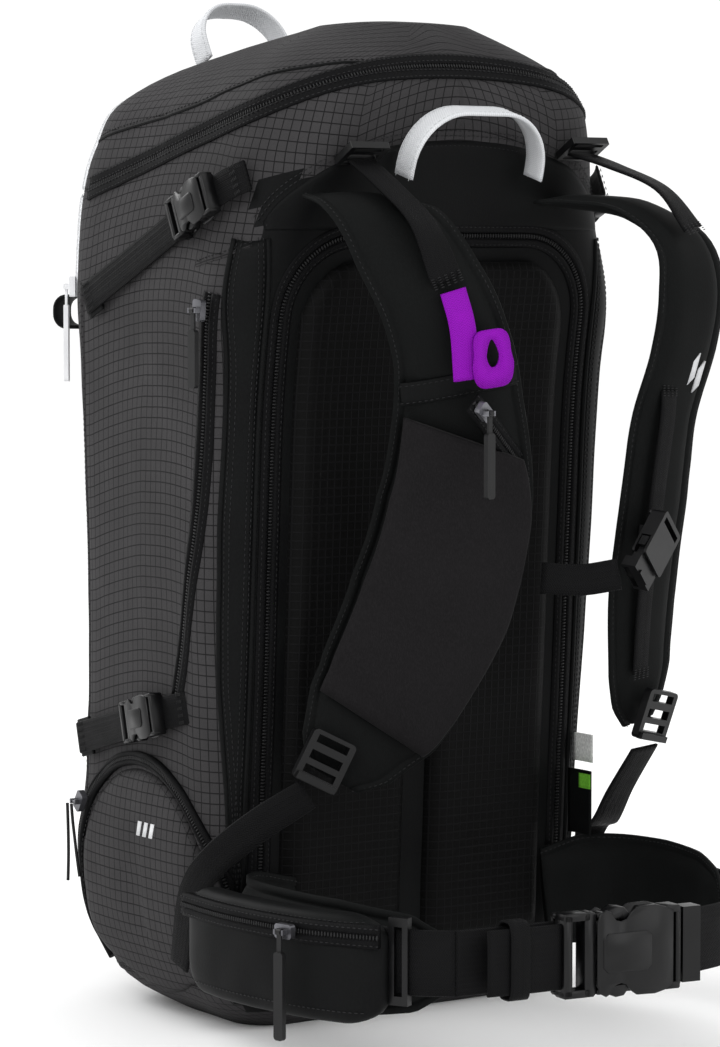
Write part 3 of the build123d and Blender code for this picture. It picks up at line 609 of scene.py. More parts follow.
# A point of the skin on column c at height z, in its wrinkled place.
def column(c, z):
    ring = ringAt(z)
    x, y = ring[c]
    side = ring[(c + 1) % ringSize] - ring[c - 1]
    outward = unit(np.array([side[1], -side[0]]))
    push = wrinkle((x, y, z), outward)
    return np.array([x + outward[0] * push, y + outward[1] * push, z])


def gridFaces(rows, columns, wrap=True):
    faces = []
    for j in range(rows - 1):
        for i in range(columns if wrap else columns - 1):
            k = (i + 1) % columns
            faces.append((j * columns + i, j * columns + k, (j + 1) * columns + k, (j + 1) * columns + i))
    return faces


# Arc length from the middle of each side, and length up the column, for even cloth threads.
def skinUvs(grid):
    rows, columns, _ = grid.shape
    steps = bag["sideSteps"]
    corner = bag["cornerSteps"]
    leftMiddle = 2 * corner + steps[0] + steps[1] // 2
    rightMiddle = 4 * corner + steps[0] + steps[1] + steps[2] + steps[3] // 2
    backMiddle, frontMiddle = corner + steps[0] // 2, 3 * corner + steps[0] + steps[1] + steps[2] // 2
    uvs = np.zeros((rows, columns, 2))
    up = np.concatenate([np.zeros((1, columns)),
                         np.cumsum(np.linalg.norm(np.diff(grid, axis=0), axis=2), axis=0)])
    uvs[:, :, 1] = up + grid[0, :, 2][None, :]
    ahead = np.linalg.norm(np.roll(grid, -1, axis=1) - grid, axis=2)
    for middle in (leftMiddle, rightMiddle):
        reach = np.zeros(rows)
        c = middle
        while c % columns not in (frontMiddle, backMiddle):      # forward
            reach = reach + ahead[:, c % columns]
            c += 1
            uvs[:, c % columns, 0] = reach
        reach = np.zeros(rows)
        c = middle
        while c % columns not in (frontMiddle, backMiddle):      # backward
            c -= 1
            reach = reach - ahead[:, c % columns]
            uvs[:, c % columns, 0] = reach
    return uvs


def bagHeights(c):
    fixed = [0, 3, 7, 12, 18, 25, 33] + list(np.arange(40, bag["stretchFrom"], bag["rowStep"]))
    top = seamOf[c] - bag["seamGap"]
    low = bag["stretchFrom"]
    return fixed + [low + (top - low) * t for t in np.linspace(0, 1, bag["stretchRows"])]


def lidHeights(c):
    low, top = seamOf[c] + bag["seamGap"], 612.0
    return [low + (top - low) * t for t in np.linspace(0, 1, bag["lidRows"]) ** 0.85]


def ringsToPoints(heights):
    columns = [[column(c, z) for z in heights(c)] for c in range(ringSize)]
    return np.array(columns).transpose(1, 0, 2)


# Rings that close an open end with a gentle dome.
def domeRings(ring, count, rise):
    middle = ring.mean(axis=0)
    rings = []
    for t in np.linspace(0, 1, count + 1)[1:-1]:
        flat = middle + (ring - middle) * (1 - t)
        flat[:, 2] = ring[:, 2] * (1 - t) + middle[2] * t + rise * (1 - (1 - t) ** 2)
        rings.append(flat)
    return rings, middle + np.array([0, 0, rise])


# A closed shell of cloth: the skin and its liner, joined round the open edge.
def shellPiece(name, heights, domeAt, rise, finish, splitBack):
    grid = ringsToPoints(heights)
    rows = grid.shape[0]
    uvs = skinUvs(grid)
    openRing = grid[-1] if domeAt == "top" else grid[0]
    rings, pole = domeRings(openRing, 9, rise)
    outer = list(grid.reshape(-1, 3))
    uvList = list(uvs.reshape(-1, 2))
    faces = gridFaces(rows, ringSize)
    edge = (rows - 1) * ringSize if domeAt == "top" else 0
    for ring in rings:
        base = len(outer)
        outer += list(ring)
        uvList += [(p[0] + 300, p[1]) for p in ring]
        for i in range(ringSize):
            k = (i + 1) % ringSize
            quad = (edge + i, edge + k, base + k, base + i)
            faces.append(quad if domeAt == "top" else tuple(reversed(quad)))
        edge = base
    outer.append(pole)
    uvList.append((pole[0] + 300, pole[1]))
    for i in range(ringSize):
        k = (i + 1) % ringSize
        tri = (edge + i, edge + k, len(outer) - 1)
        faces.append(tri if domeAt == "top" else tuple(reversed(tri)))
    obj = meshPiece(name, outer, faces, uvList, finish, fix=False)
    obj.data.materials.append(finishes["nylon"])
    obj.data.materials.append(finishes["liner"])
    if splitBack:
        for polygon in obj.data.polygons:
            x, y, z = (c / toMetres for c in polygon.center)
            if polygon.normal[1] < -0.55 and abs(x) < 128 and 14 < z < 520:
                polygon.material_index = 1
    wall = obj.modifiers.new("wall", "SOLIDIFY")
    wall.thickness, wall.offset = bag["wall"] * toMetres, -1
    wall.material_offset, wall.material_offset_rim = 2, 0
    wall.use_quality_normals = True
    return applied(obj), outer, faces


bagCloth, bagPoints, bagFaces = shellPiece("bag_cloth", bagHeights, "bottom", 0.6, "ripstop", True)
lidCloth, lidPoints, lidFaces = shellPiece("lid_cloth", lidHeights, "top", 3.0, "ripstop", False)
settle(bagCloth, "bag", "ripstop", "bag_shell")
settle(lidCloth, "lid", "ripstop", "lid_shell")

skinPoints = [Vector(p) for p in bagPoints] + [Vector(p) for p in lidPoints]
skinFaces = list(bagFaces) + [tuple(i + len(bagPoints) for i in f) for f in lidFaces]
bagRim = (len(bagHeights(0)) - 1) * ringSize          # the gap at the seam is bridged for laying strips
for i in range(ringSize):
    k = (i + 1) % ringSize
    skinFaces.append((bagRim + i, bagRim + k, len(bagPoints) + k, len(bagPoints) + i))
skinTree = BVHTree.FromPolygons(skinPoints, skinFaces)
print("stage: bag and lid cloth made")


# The skin's point seen from a side: 'right' and 'left' of the wearer, 'back' or 'front'.
def cast(level, z, where):
    starts = {"right": ((-400, level, z), (1, 0, 0)), "left": ((400, level, z), (-1, 0, 0)),
              "back": ((level, -400, z), (0, 1, 0)), "front": ((level, 400, z), (0, -1, 0))}
    start, ahead = starts[where]
    spot, normal, _, _ = skinTree.ray_cast(Vector(start), Vector(ahead))
    if spot is None:
        spot, normal, _, _ = skinTree.find_nearest(Vector(start))
    return np.array(spot), np.array(normal)


def near(place):
    spot, normal, _, _ = skinTree.find_nearest(Vector(place))
    return np.array(spot), np.array(normal)


# Outward directions averaged with their neighbours along a path.
def softened(directions, times=4):
    d = np.array(directions, float)
    for _ in range(times):
        d[1:-1] = (d[:-2] + 2 * d[1:-1] + d[2:]) / 4
    return [unit(v) for v in d]


# A path laid on the skin: even points and smooth outward directions.
def skinLine(points, spacing=4.0, lift=0.0, smooth=True):
    line = smoothPath(points, spacing) if smooth else evenSteps(np.array(points, float), spacing)
    spots, normals = zip(*[near(p) for p in line])
    outs = softened(normals)
    return np.array([s + o * lift for s, o in zip(spots, outs)]), outs


# A strip on the skin: every point of its cross-section stands on the cloth below it.
def laidStrip(name, line, outs, loop, finish, hold=None):
    along = tangents(np.array(line))
    points, uvs = [], []
    reach = np.concatenate([[0], np.cumsum(np.linalg.norm(np.diff(line, axis=0), axis=1))])
    for i, place in enumerate(line):
        across = unit(np.cross(outs[i], along[i]))
        for a, o in loop:
            spot, _ = near(place + across * a)
            height = np.dot(spot - place, outs[i])
            points.append(place + across * a + outs[i] * (height + o))
            uvs.append((a, reach[i]))
    size = len(loop)
    faces = [(i * size + j, i * size + (j + 1) % size, (i + 1) * size + (j + 1) % size, (i + 1) * size + j)
             for i in range(len(line) - 1) for j in range(size)]
    last = (len(line) - 1) * size
    faces += [tuple(range(size - 1, -1, -1)), tuple(last + j for j in range(size))]
    return meshPiece(name, points, faces, uvs, finish)


def offsetLine(line, outs, across, lift):
    along = tangents(np.array(line))
    spots = []
    for place, out, t in zip(line, outs, along):
        side = unit(np.cross(out, t))
        spot, _ = near(place + side * across)
        spots.append(place + side * across + out * (np.dot(spot - place, out) + lift))
    return np.array(spots)


# Cross-section of a zip: two cloth welts with the coil's slot between them.
def zipLoop(width, tape=0.9, welt=1.5, slot=2.4):
    h = width / 2
    return [(-h, -0.8), (-h, tape * 0.5), (-h + 1.2, tape), (-slot - 1.6, welt), (-slot, welt * 0.95),
            (-slot + 0.3, 0.5), (slot - 0.3, 0.5), (slot, welt * 0.95), (slot + 1.6, welt), (h - 1.2, tape),
            (h, tape * 0.5), (h, -0.8)]


def zipPiece(name, body, line, outs, width, finish="zipTape", kind="teeth", stitch="stitch", welt=1.5):
    piece = laidStrip(name, line, outs, zipLoop(width, welt=welt), finish)
    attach(piece, body)
    sew(body, kind, offsetLine(line, outs, 0, 0.9), outs)
    for side in (-1, 1):
        sew(body, stitch, offsetLine(line, outs, side * (width / 2 - 2.0), 1.05), outs)
    return piece


zips = {
    "lidWidth": 16.0, "lidFront": 78.0,                      # the lid zip stops here on both sides
    "backHalf": 114.0, "backTop": 484.0, "backLow": 98.0, "backRadius": 50.0, "backWidth": 15.0,
    "frontX": 121.0, "frontLow": 446.0, "frontTop": 577.0, "frontRadius": 56.0, "frontWidth": 9.0,
    "side": [(-84, 450), (-78, 400), (-71, 327), (-56, 262), (-40, 206)], "sideWidth": 15.0,
}


# Points along the lid seam, from the front of one side round the back to the other.
def seamLine(rise):
    wanted = [c for c in range(ringSize) if ringAt(seamOf[c])[c][1] < zips["lidFront"]]
    first = next(c for c in wanted if (c - 1) % ringSize not in wanted)
    line = []
    c = first
    while c % ringSize in wanted:
        line.append(column(c % ringSize, seamOf[c % ringSize] + rise))
        c += 1
    return line


def makeLidZip():
    halves = (("lid_zip_upper", "lid", 1), ("lid_zip_lower", "bag", -1))
    for name, body, side in halves:
        line, outs = skinLine(seamLine(side * 4.3), 4.0, smooth=False)
        loop = [(-3.5, -0.6), (-3.5, 0.6), (-2.6, 1.2), (2.4, 1.5), (3.4, 1.2), (3.4, -0.6)]
        if side > 0:
            loop = [(-a, o) for a, o in loop]
        flip = np.cross(outs[3], tangents(line)[3])[2] > 0
        if flip:
            loop = [(-a, o) for a, o in loop]
        piece = laidStrip(name, line, outs, loop, "zipTape")
        settle(piece, body, "zip_tape", name)
        for place in (-2.0, 2.0):
            sew(body, "stitch", offsetLine(line, outs, place, 1.5), outs)
        if side > 0:
            teethLine, teethOuts = skinLine(seamLine(0.0), 4.0, smooth=False)
            sew("bag", "teeth", teethLine + np.array(teethOuts) * 0.5, teethOuts)


# An arch drawn on the back or the front of the bag and laid on its skin.
def archPoints(half, top, low, radius, where, step=5.0):
    plan = [(-half, z) for z in np.arange(low, top - radius, step)]
    plan += [(-half + radius * (1 - math.cos(a)), top - radius + radius * math.sin(a))
             for a in np.linspace(0, math.pi / 2, 12)]
    plan += [(x, top) for x in np.arange(-half + radius, 0, step)][1:]
    whole = plan + [(-x, z) for x, z in reversed(plan)]
    return [cast(x, z, where)[0] for x, z in whole]


def makeBackZip():
    line, outs = skinLine(archPoints(zips["backHalf"], zips["backTop"], zips["backLow"], zips["backRadius"], "back"),
                          4.0, smooth=False)
    piece = zipPiece("back_zip", "bag", line, outs, zips["backWidth"])
    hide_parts("back_zip_track")


# The pale zip of the front pocket: it climbs one side, crosses the lid and comes down the other.
def makeFrontZip():
    plan = archPoints(zips["frontX"], zips["frontTop"], zips["frontLow"], zips["frontRadius"], "front")
    plan = evenSteps(np.array(plan), 3.0)
    upper = [p for p in plan if p[2] > seamHeight(p[0], p[1]) + 0.8]
    cut = [i for i, p in enumerate(plan) if p[2] > seamHeight(p[0], p[1]) - 0.8]
    lowers = [plan[:cut[0]], plan[cut[-1] + 1:]]
    line, outs = skinLine(upper, 4.0, smooth=False)
    piece = zipPiece("front_zip_on_lid", "lid", line, outs, zips["frontWidth"], "paleZip", "paleTeeth",
                     "paleStitch", welt=1.8)
    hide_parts("front_zip_upper")
    for name, part in zip(("front_zip_right", "front_zip_left"), lowers):
        line, outs = skinLine(part, 4.0, smooth=False)
        piece = zipPiece(name, "bag", line, outs, zips["frontWidth"], "paleZip", "paleTeeth", "paleStitch", welt=1.8)
        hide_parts("front_zip_track")


def makeSideZip():
    points = [cast(y, z, "right")[0] for y, z in smoothPath([(y, z, 0) for y, z in zips["side"]], 8.0)[:, :2]]
    line, outs = skinLine(points, 4.0, smooth=False)
    piece = zipPiece("side_zip_tape", "bag", line, outs, zips["sideWidth"], welt=2.0)
    return piece


makeLidZip()
makeBackZip()
makeFrontZip()
sideZip = makeSideZip()
print("stage: zips made")

panels = {
    "yoke": [(-126, 492), (-119, 503), (-106, 515), (-84, 528), (-45, 538), (0, 541)],
    "yokeLow": 487.0, "patchLift": 0.7,
    "bandOuter": [(486, 142), (440, 155), (400, 158), (300, 156), (216, 151), (150, 148), (60, 144)],
    "bandInner": 124.0, "bandLimit": [(492, -94), (423, -93), (314, -84), (216, -79), (60, -77)],
}


# A cloth panel from rows of skin points: each row has the same number of points. It hugs the skin.
def panelPiece(name, rows, lift, finish, hem=2.2):
    rows = [list(r) for r in rows]
    count, wide = len(rows), len(rows[0])
    points, uvs = [], []
    for j, row in enumerate(rows):
        reach = 0.0
        for i, place in enumerate(row):
            spot, normal = near(place)
            border = min(j, count - 1 - j, i, wide - 1 - i)
            points.append(spot + normal * (lift if border > 0 else lift * 0.15))
            reach += np.linalg.norm(np.array(place) - np.array(row[i - 1])) if i else 0.0
            uvs.append((reach, spot[2]))
    faces = gridFaces(count, wide, wrap=False)
    base = len(points)
    backs = []
    for place in points:
        spot, normal = near(place)
        backs.append(spot - normal * 0.9)
    points += backs
    uvs += uvs[:base]
    faces += [tuple(base + v for v in reversed(f)) for f in faces]
    border = list(range(wide)) + [j * wide + wide - 1 for j in range(1, count)] \
        + [(count - 1) * wide + i for i in range(wide - 2, -1, -1)] + [j * wide for j in range(count - 2, 0, -1)]
    for a, b in zip(border, border[1:] + border[:1]):
        faces.append((b, a, a + base, b + base))
    return meshPiece(name, points, faces, uvs, finish)


def makeYoke():
    half = [(x, z, 0) for x, z in panels["yoke"]]
    upper = smoothPath(half + [(-x, z, 0) for x, z in reversed(panels["yoke"][:-1])], 5)
    rows = []
    for t in np.linspace(0, 1, 12):
        rows.append([cast(x, panels["yokeLow"] + (z - panels["yokeLow"]) * t, "back")[0] for x, z, _ in upper])
    piece = panelPiece("yoke", rows, 1.0, "nylon")
    edge, outs = skinLine(rows[-1], 4.0, smooth=False)
    sew("bag", "stitch", offsetLine(edge, outs, 3.0, 1.1), outs)
    sew("bag", "stitch", offsetLine(edge, outs, 6.0, 1.1), outs)
    sew("bag", "stitch", offsetLine(edge, outs, -3.0, 0.4), outs)
    return piece


# The smooth band that wraps the back corner of the bag.
def makeEdgeBand(side):
    name = "edge_band_right" if side < 0 else "edge_band_left"
    where = "right" if side < 0 else "left"
    heights = np.arange(62, 486, 6.0)
    limitZ, limitY = zip(*reversed(panels["bandLimit"]))
    rows = []
    for z in heights:
        edgeY = np.interp(z, limitZ, limitY)
        outer = cast(edgeY, z, where)[0]
        inner = cast(side * panels["bandInner"], z, "back")[0]
        row = []
        for t in np.linspace(0, 1, 9):
            guess = outer + (inner - outer) * t
            bulge = math.sin(math.pi * t) * 9
            row.append(near(guess + np.array([side * bulge, -bulge, 0]))[0])
        rows.append(row if side < 0 else row)
    piece = panelPiece(name, rows, 1.1, "nylon")
    for edgeColumn in (0, len(rows[0]) - 1):
        edge, outs = skinLine([r[edgeColumn] for r in rows], 5.0, smooth=False)
        inward = 3.0 if (edgeColumn == 0) == (side > 0) else -3.0
        sew("bag", "stitch", offsetLine(edge, outs, inward, 1.2), outs)
        sew("bag", "stitch", offsetLine(edge, outs, inward * 2, 1.2), outs)
        pipe = laidStrip(name + "_piping" + str(edgeColumn), edge, outs,
                         [(-1.6, -0.8), (-1.5, 0.9), (-0.6, 1.7), (0.6, 1.7), (1.5, 0.9), (1.6, -0.8)], "nylon")
        settle(pipe, "bag", "black_nylon")
    return piece


for piece in (makeYoke(), makeEdgeBand(-1), makeEdgeBand(1)):
    settle(piece, "bag", "black_nylon", "harness_yoke")


# A seam between two panels: a raised fold of cloth, stitched alongside.
def pipedSeam(name, body, points, finish, high=1.0, wide=1.1, slot="ripstop", stitched=2.6):
    line, outs = skinLine(points, 4.0)
    loop = [(-wide, -0.6), (-wide, high * 0.5), (-wide * 0.4, high), (wide * 0.4, high), (wide, high * 0.5),
            (wide, -0.6)]
    piece = laidStrip(name, line, outs, loop, finish)
    settle(piece, body, slot)
    if stitched:
        sew(body, "stitch", offsetLine(line, outs, stitched, 0.35), outs)
    return piece


# Panel seams of the bag and the lid.
def makeSeams():
    for side in (-1, 1):
        tag = "right" if side < 0 else "left"
        front = [cast(88 - 0.02 * z, z, tag)[0] for z in np.arange(22, 470, 16)]
        pipedSeam("front_seam_" + tag, "bag", front, "ripstop", 0.9)
        lidSide = [near((side * x, y, z))[0] for x, y, z in
                   ((128, 84, 546), (124, 34, 552), (120, -20, 560), (112, -62, 570), (97, -104, 583),
                    (66, -126, 588))]
        pipedSeam("lid_seam_" + tag, "lid", lidSide, "nylon", 1.0)
        upper = [near((side * x, y, z))[0] for x, y, z in ((151, -62, 468), (145, -88, 472), (134, -106, 478))]
        pipedSeam("upper_seam_" + tag, "bag", upper, "ripstop", 0.9)
    lidBack = [near((x, -128, 588 + 3 * math.cos(x / 45)))[0] for x in range(-66, 67, 11)]
    pipedSeam("lid_seam_back", "lid", lidBack, "nylon", 1.0)
    base = [near((x, y, 24))[0] for x, y in ((-118, 60), (-128, 0), (-128, -60), (-100, -84), (0, -84), (100, -84),
                                             (128, -60), (128, 0), (118, 60), (90, 96), (0, 100), (-90, 96),
                                             (-118, 60))]
    pipedSeam("base_seam", "bag", base, "ripstop", 0.9)


makeSeams()
print("stage: panels and seams made")

pocket = {"y": 8.0, "z": 77.0, "radius": 80.0, "drop": 14.0, "puff": 6.2, "ringWidth": 8.4, "ringRadius": 85.6,
          "markY": 4.0, "markZ": 116.0}


# A point of the pocket's outline: round above, nearly straight legs below.
def pocketPlan(radius, angle):
    y = pocket["y"] + radius * math.cos(angle)
    z = pocket["z"] + radius * math.sin(angle)
    if math.sin(angle) < 0:
        down = -math.sin(angle)
        y = pocket["y"] + radius * math.cos(angle) * (1 - 0.06 * down) / max(abs(math.cos(angle)), down * 1.25)
        z = pocket["z"] - (pocket["z"] - pocket["drop"]) * down * (radius / pocket["radius"])
        y = max(min(y, pocket["y"] + radius * 0.98), pocket["y"] - radius * 0.94)
    return y, z


def makeLowerPocket():
    rings, count = 16, 88
    points, uvs, faces = [], [], []
    for k in range(rings + 1):
        t = k / rings
        for i in range(count):
            y, z = pocketPlan(pocket["radius"] * t, 2 * math.pi * i / count)
            spot, normal = cast(y, z, "right")
            puff = pocket["puff"] * (1 - t ** 5) ** 0.6 if t < 1 else -0.8
            ripple = noise.noise(Vector((y / 26, z / 26, 3.1))) * 0.9 * (1 - t)
            points.append(spot + np.array([-1, 0, 0.0]) * (puff + ripple) * 0.8 + normal * (puff + ripple) * 0.2)
            uvs.append((y, z))
    for k in range(rings):
        for i in range(count):
            j = (i + 1) % count
            faces.append((k * count + i, k * count + j, (k + 1) * count + j, (k + 1) * count + i))
    base = len(points)
    for i in range(base):
        t = (i // count) / rings
        spot = points[i] if t == 1 else cast(uvs[i][0], uvs[i][1], "right")[0] + np.array([0.8, 0, 0])
        points.append(spot)
    uvs += uvs[:base]
    faces += [tuple(base + v for v in reversed(f)) for f in faces]
    piece = meshPiece("lower_pocket_cloth", points, faces, uvs, "ripstop", fix=False)
    bm = bmesh.new()
    bm.from_mesh(piece.data)
    bmesh.ops.remove_doubles(bm, verts=bm.verts, dist=0.00002)
    bmesh.ops.recalc_face_normals(bm, faces=bm.faces)
    bm.to_mesh(piece.data)
    bm.free()
    settle(piece, "bag", "ripstop", "lower_pocket", fill=0.5)
    seam = []
    for a in np.linspace(-0.35, math.pi + 0.35, 60):
        y, z = pocketPlan(pocket["radius"] * 0.965, a)
        seam.append(cast(y, z, "right")[0] + np.array([-3.4, 0, 0]))
    sew("bag", "stitch", seam, [np.array([-1.0, 0, 0])] * len(seam))


def makePocketZip():
    line = []
    for a in np.linspace(-0.62, math.pi + 0.62, 90):
        y = pocket["y"] + pocket["ringRadius"] * math.cos(a) * (1 if math.sin(a) > 0 else 1)
        z = pocket["z"] + pocket["ringRadius"] * math.sin(a)
        y = min(max(y, pocket["y"] - 86), pocket["y"] + 86)
        line.append(cast(y, z, "right")[0])
    line, outs = skinLine(line, 3.5, smooth=False)
    h = pocket["ringWidth"] / 2
    loop = [(-h, -0.8), (-h, 2.2), (-h + 1, 3.2), (-1.6, 3.5), (-1.3, 2.6), (1.3, 2.6), (1.6, 3.5), (h - 1, 3.2),
            (h, 2.2), (h, -0.8)]
    piece = laidStrip("lower_pocket_zip_tape", line, outs, loop, "zipTape")
    settle(piece, "bag", "zip_tape", "lower_pocket_zip")
    sew("bag", "teeth", offsetLine(line, outs, 0, 2.7), outs)


# A plain printed mark: three slanted bars.
def makePocketMark():
    bars = []
    for k in range(3):
        points, faces = [], []
        for u, v in ((0, 0), (4.2, 0), (6.4, 9), (2.2, 9)):
            y = pocket["markY"] - k * 7.5 - u
            z = pocket["markZ"] + v
            spot = cast(y, z, "right")[0]
            t = math.hypot(y - pocket["y"], z - pocket["z"]) / pocket["radius"]
            out = pocket["puff"] * (1 - t ** 5) ** 0.6 + noise.noise(Vector((y / 26, z / 26, 3.1))) * 0.9 * (1 - t)
            points.append(spot + np.array([-out - 0.25, 0, 0]))
        points += [p + np.array([1.6, 0, 0]) for p in points]
        faces = [(0, 1, 2, 3), (7, 6, 5, 4), (0, 4, 5, 1), (1, 5, 6, 2), (2, 6, 7, 3), (3, 7, 4, 0)]
        bars.append(meshPiece(f"mark_bar_{k}", points, faces, [(0, 0)] * 8, "mark"))
    piece = joined(bars)
    piece.name = "pocket_mark"
    settle(piece, "bag", "label")


makeLowerPocket()
makePocketZip()
makePocketMark()
print("stage: lower pocket made")


# Cross-section of padded webbing: thin bound rims, a stitched groove, a crowned foam core.
def padLoop(width, thick, rim=7.0, rimThick=2.6, groove=0.8, steps=9, face=1.0):
    half = width / 2
    core = max(half - rim, 2.0)
    row = [(-half, 0.0), (-half + 0.5, rimThick * 0.42), (-core - 1.4, rimThick * 0.5),
           (-core - 0.4, rimThick * 0.5 - groove)]
    for k in range(steps + 1):
        s = -1 + 2 * k / steps
        row.append((s * (core - 0.6), rimThick * 0.5 + (thick / 2 - rimThick * 0.5) * (1 - abs(s) ** 3.2) ** 0.55))
    row += [(core + 0.4, rimThick * 0.5 - groove), (core + 1.4, rimThick * 0.5), (half - 0.5, rimThick * 0.42)]
    under = [(a, -o * face) for a, o in reversed(row[1:])]
    return row + [(half, 0.0)] + under


# A padded strap through (place, across, width, thickness) stations.
def padStrap(name, stations, finish, spacing=5.0, rim=7.0, wave=0.5, seed=0.0, stitches=True, ends=(0.55, 0.5)):
    places, acrosses = [s[0] for s in stations], [s[1] for s in stations]
    line, across, outs, marks = ribbonAxes(places, acrosses, spacing)
    wides = np.interp(marks, range(len(stations)), [s[2] for s in stations])
    thicks = np.interp(marks, range(len(stations)), [s[3] for s in stations])
    loops = []
    for i in range(len(line)):
        close = min(i * spacing / 14.0, 1.0), min((len(line) - 1 - i) * spacing / 14.0, 1.0)
        taper = min(ends[0] + (1 - ends[0]) * close[0], ends[1] + (1 - ends[1]) * close[1])
        loop = padLoop(wides[i], thicks[i] * taper, rim if wides[i] > 3 * rim else wides[i] * 0.22)
        ripple = []
        for a, o in loop:
            lift = noise.noise(Vector((a / 22 + seed, i * spacing / 26, seed))) * wave
            lift += 0.4 * wave * noise.noise(Vector((a / 9 + seed, i * spacing / 12, seed + 4)))
            ripple.append((a, o + lift * (1 if o > 0 else 0.4)))
        loops.append(ripple)
    piece = sweptPiece(name, line, across, outs, loops, finish)
    lines = {}
    for side in (-1, 1):
        edge = [line[i] + across[i] * side * (wides[i] / 2 - rim * 0.4) + outs[i] * 1.15 for i in range(len(line))]
        lines[side] = edge
    return piece, line, across, outs, wides, thicks, lines


harness = {
    "right": [((-86, -133, 507), (1, 0, 0), 58, 7), ((-87, -156, 502), (1, -0.1, 0), 62, 10),
              ((-80, -178, 484), (0.94, -0.34, 0), 66, 12), ((-65, -191, 451), (0.94, -0.34, 0), 68, 12),
              ((-50, -190, 420), (0.94, -0.34, 0), 72, 12), ((-38, -181, 385), (0.94, -0.34, 0), 80, 12),
              ((-29, -167, 328), (0.94, -0.34, 0), 98, 12), ((-37, -153, 267), (0.94, -0.34, 0), 104, 12),
              ((-60, -143, 215), (0.94, -0.34, 0), 94, 12), ((-72, -139, 196), (0.94, -0.34, 0), 86, 12),
              ((-86, -133, 172), (0.94, -0.34, 0), 62, 9), ((-92, -130.5, 161), (0.94, -0.34, 0), 34, 7)],
    "left": [((66, -133, 504), (1, 0, 0), 52, 7), ((82, -156, 504), (0.93, 0.37, 0), 56, 10),
             ((99, -182, 499), (0.93, 0.37, 0), 58, 12), ((114, -202, 481), (0.96, 0.28, 0), 60, 12),
             ((122, -205, 452), (0.98, 0.19, 0), 62, 12), ((123, -197, 415), (0.98, 0.19, 0), 62, 12),
             ((119, -184, 374), (0.98, 0.19, 0), 62, 12), ((117, -177, 326), (0.98, 0.19, 0), 64, 12),
             ((112, -172, 265), (0.98, 0.19, 0), 64, 12), ((115, -166, 216), (0.98, 0.19, 0), 58, 12),
             ((118, -161.5, 196), (0.98, 0.19, 0), 46, 10), ((120, -158.5, 184), (0.98, 0.19, 0), 28, 8)],
    "pocketFrom": 5, "pocketTo": 9, "pocketThick": 13.0, "pocketTrim": 8.0,
}


def makeShoulderStraps():
    found = {}
    for side, seed in (("right", 2.0), ("left", 9.0)):
        node = "shoulder_strap_" + side
        piece, line, across, outs, wides, thicks, edges = padStrap(node + "_pad", harness[side], "foamCloth",
                                                                  seed=seed)
        settle(piece, "bag", "black_nylon", node, fill=0.8)
        for k in (-1, 1):
            sew("bag", "stitch", edges[k], outs)
        found[side] = (line, across, outs, wides, thicks)
    return found


straps = makeShoulderStraps()


# The strap's outer face nearest to a place.
def onStrap(side, place, lift):
    line, across, outs, wides, thicks = straps[side]
    i = int(np.argmin(np.linalg.norm(line - np.array(place), axis=1)))
    a = np.dot(np.array(place) - line[i], across[i])
    return line[i] + across[i] * a + outs[i] * (thicks[i] / 2 + lift), outs[i], across[i]


# The pocket's top edge runs down across the strap, along its zip.
def slantTop(piece, places, axes, wide):
    run = tangents(np.array(places))
    verts = piece.data.vertices
    count = 28
    for n in range(len(places)):
        fade = max(0.0, 1 - n / 14.0)
        for k in range(count):
            spot = np.array(verts[n * count + k].co) / toMetres
            a = np.dot(spot - places[n], axes[n][0])
            move = (a / wide[n] + 0.5) * 36 * fade
            verts[n * count + k].co = (spot + run[n] * move) * toMetres
    piece.data.update()


# The soft pocket on the wearer's right strap: crowned, with its seams pulled in.
def makeStrapPocket():
    line, across, outs, wides, thicks = straps["right"]
    path = [tuple(s[0]) for s in harness["right"]]
    near5 = int(np.argmin(np.linalg.norm(line - np.array(path[harness["pocketFrom"]]), axis=1)))
    near9 = int(np.argmin(np.linalg.norm(line - np.array(path[harness["pocketTo"]]), axis=1)))
    sel = range(near5, near9 + 1)
    places, axes, thick, wide = [], [], [], []
    for n, i in enumerate(sel):
        t = n / (len(sel) - 1)
        swell = max(math.sin(math.pi * min(max(t * 0.94 + 0.05, 0), 1)), 0.0) ** 0.55
        thickHere = 2.0 + (harness["pocketThick"] - 2.0) * swell
        places.append(line[i] + outs[i] * (thicks[i] / 2 + 0.6 + thickHere / 2))
        axes.append((across[i], outs[i]))
        thick.append(thickHere)
        wide.append(max(wides[i] - harness["pocketTrim"], 14))
    loops = []
    for n in range(len(places)):
        half, t = wide[n] / 2, thick[n] / 2
        loop = []
        for k in range(28):
            a = 2 * math.pi * k / 28
            c, s = math.cos(a), math.sin(a)
            o = t * (abs(s) ** 0.8) * (1 if s > 0 else -1)
            sideways = half * (abs(c) ** 0.55) * (1 if c > 0 else -1)
            o += 0.7 * noise.noise(Vector((sideways / 24, n * 5 / 30, 5.5))) if s > 0 else 0
            loop.append((sideways, o))
        loops.append(loop)
    piece = sweptPiece("strap_pocket_body", places, [a[0] for a in axes], [a[1] for a in axes], loops, "softshell")
    slantTop(piece, places, axes, wide)
    settle(piece, "bag", "softshell", "strap_pocket", fill=0.7)
    return piece


strapPocket = makeStrapPocket()
print("stage: shoulder straps made")


backPads = {"inner": 8.0, "outer": 100.0, "low": 42.0, "top": 471.0, "radius": 44.0, "thick": 8.0, "step": 6.0}
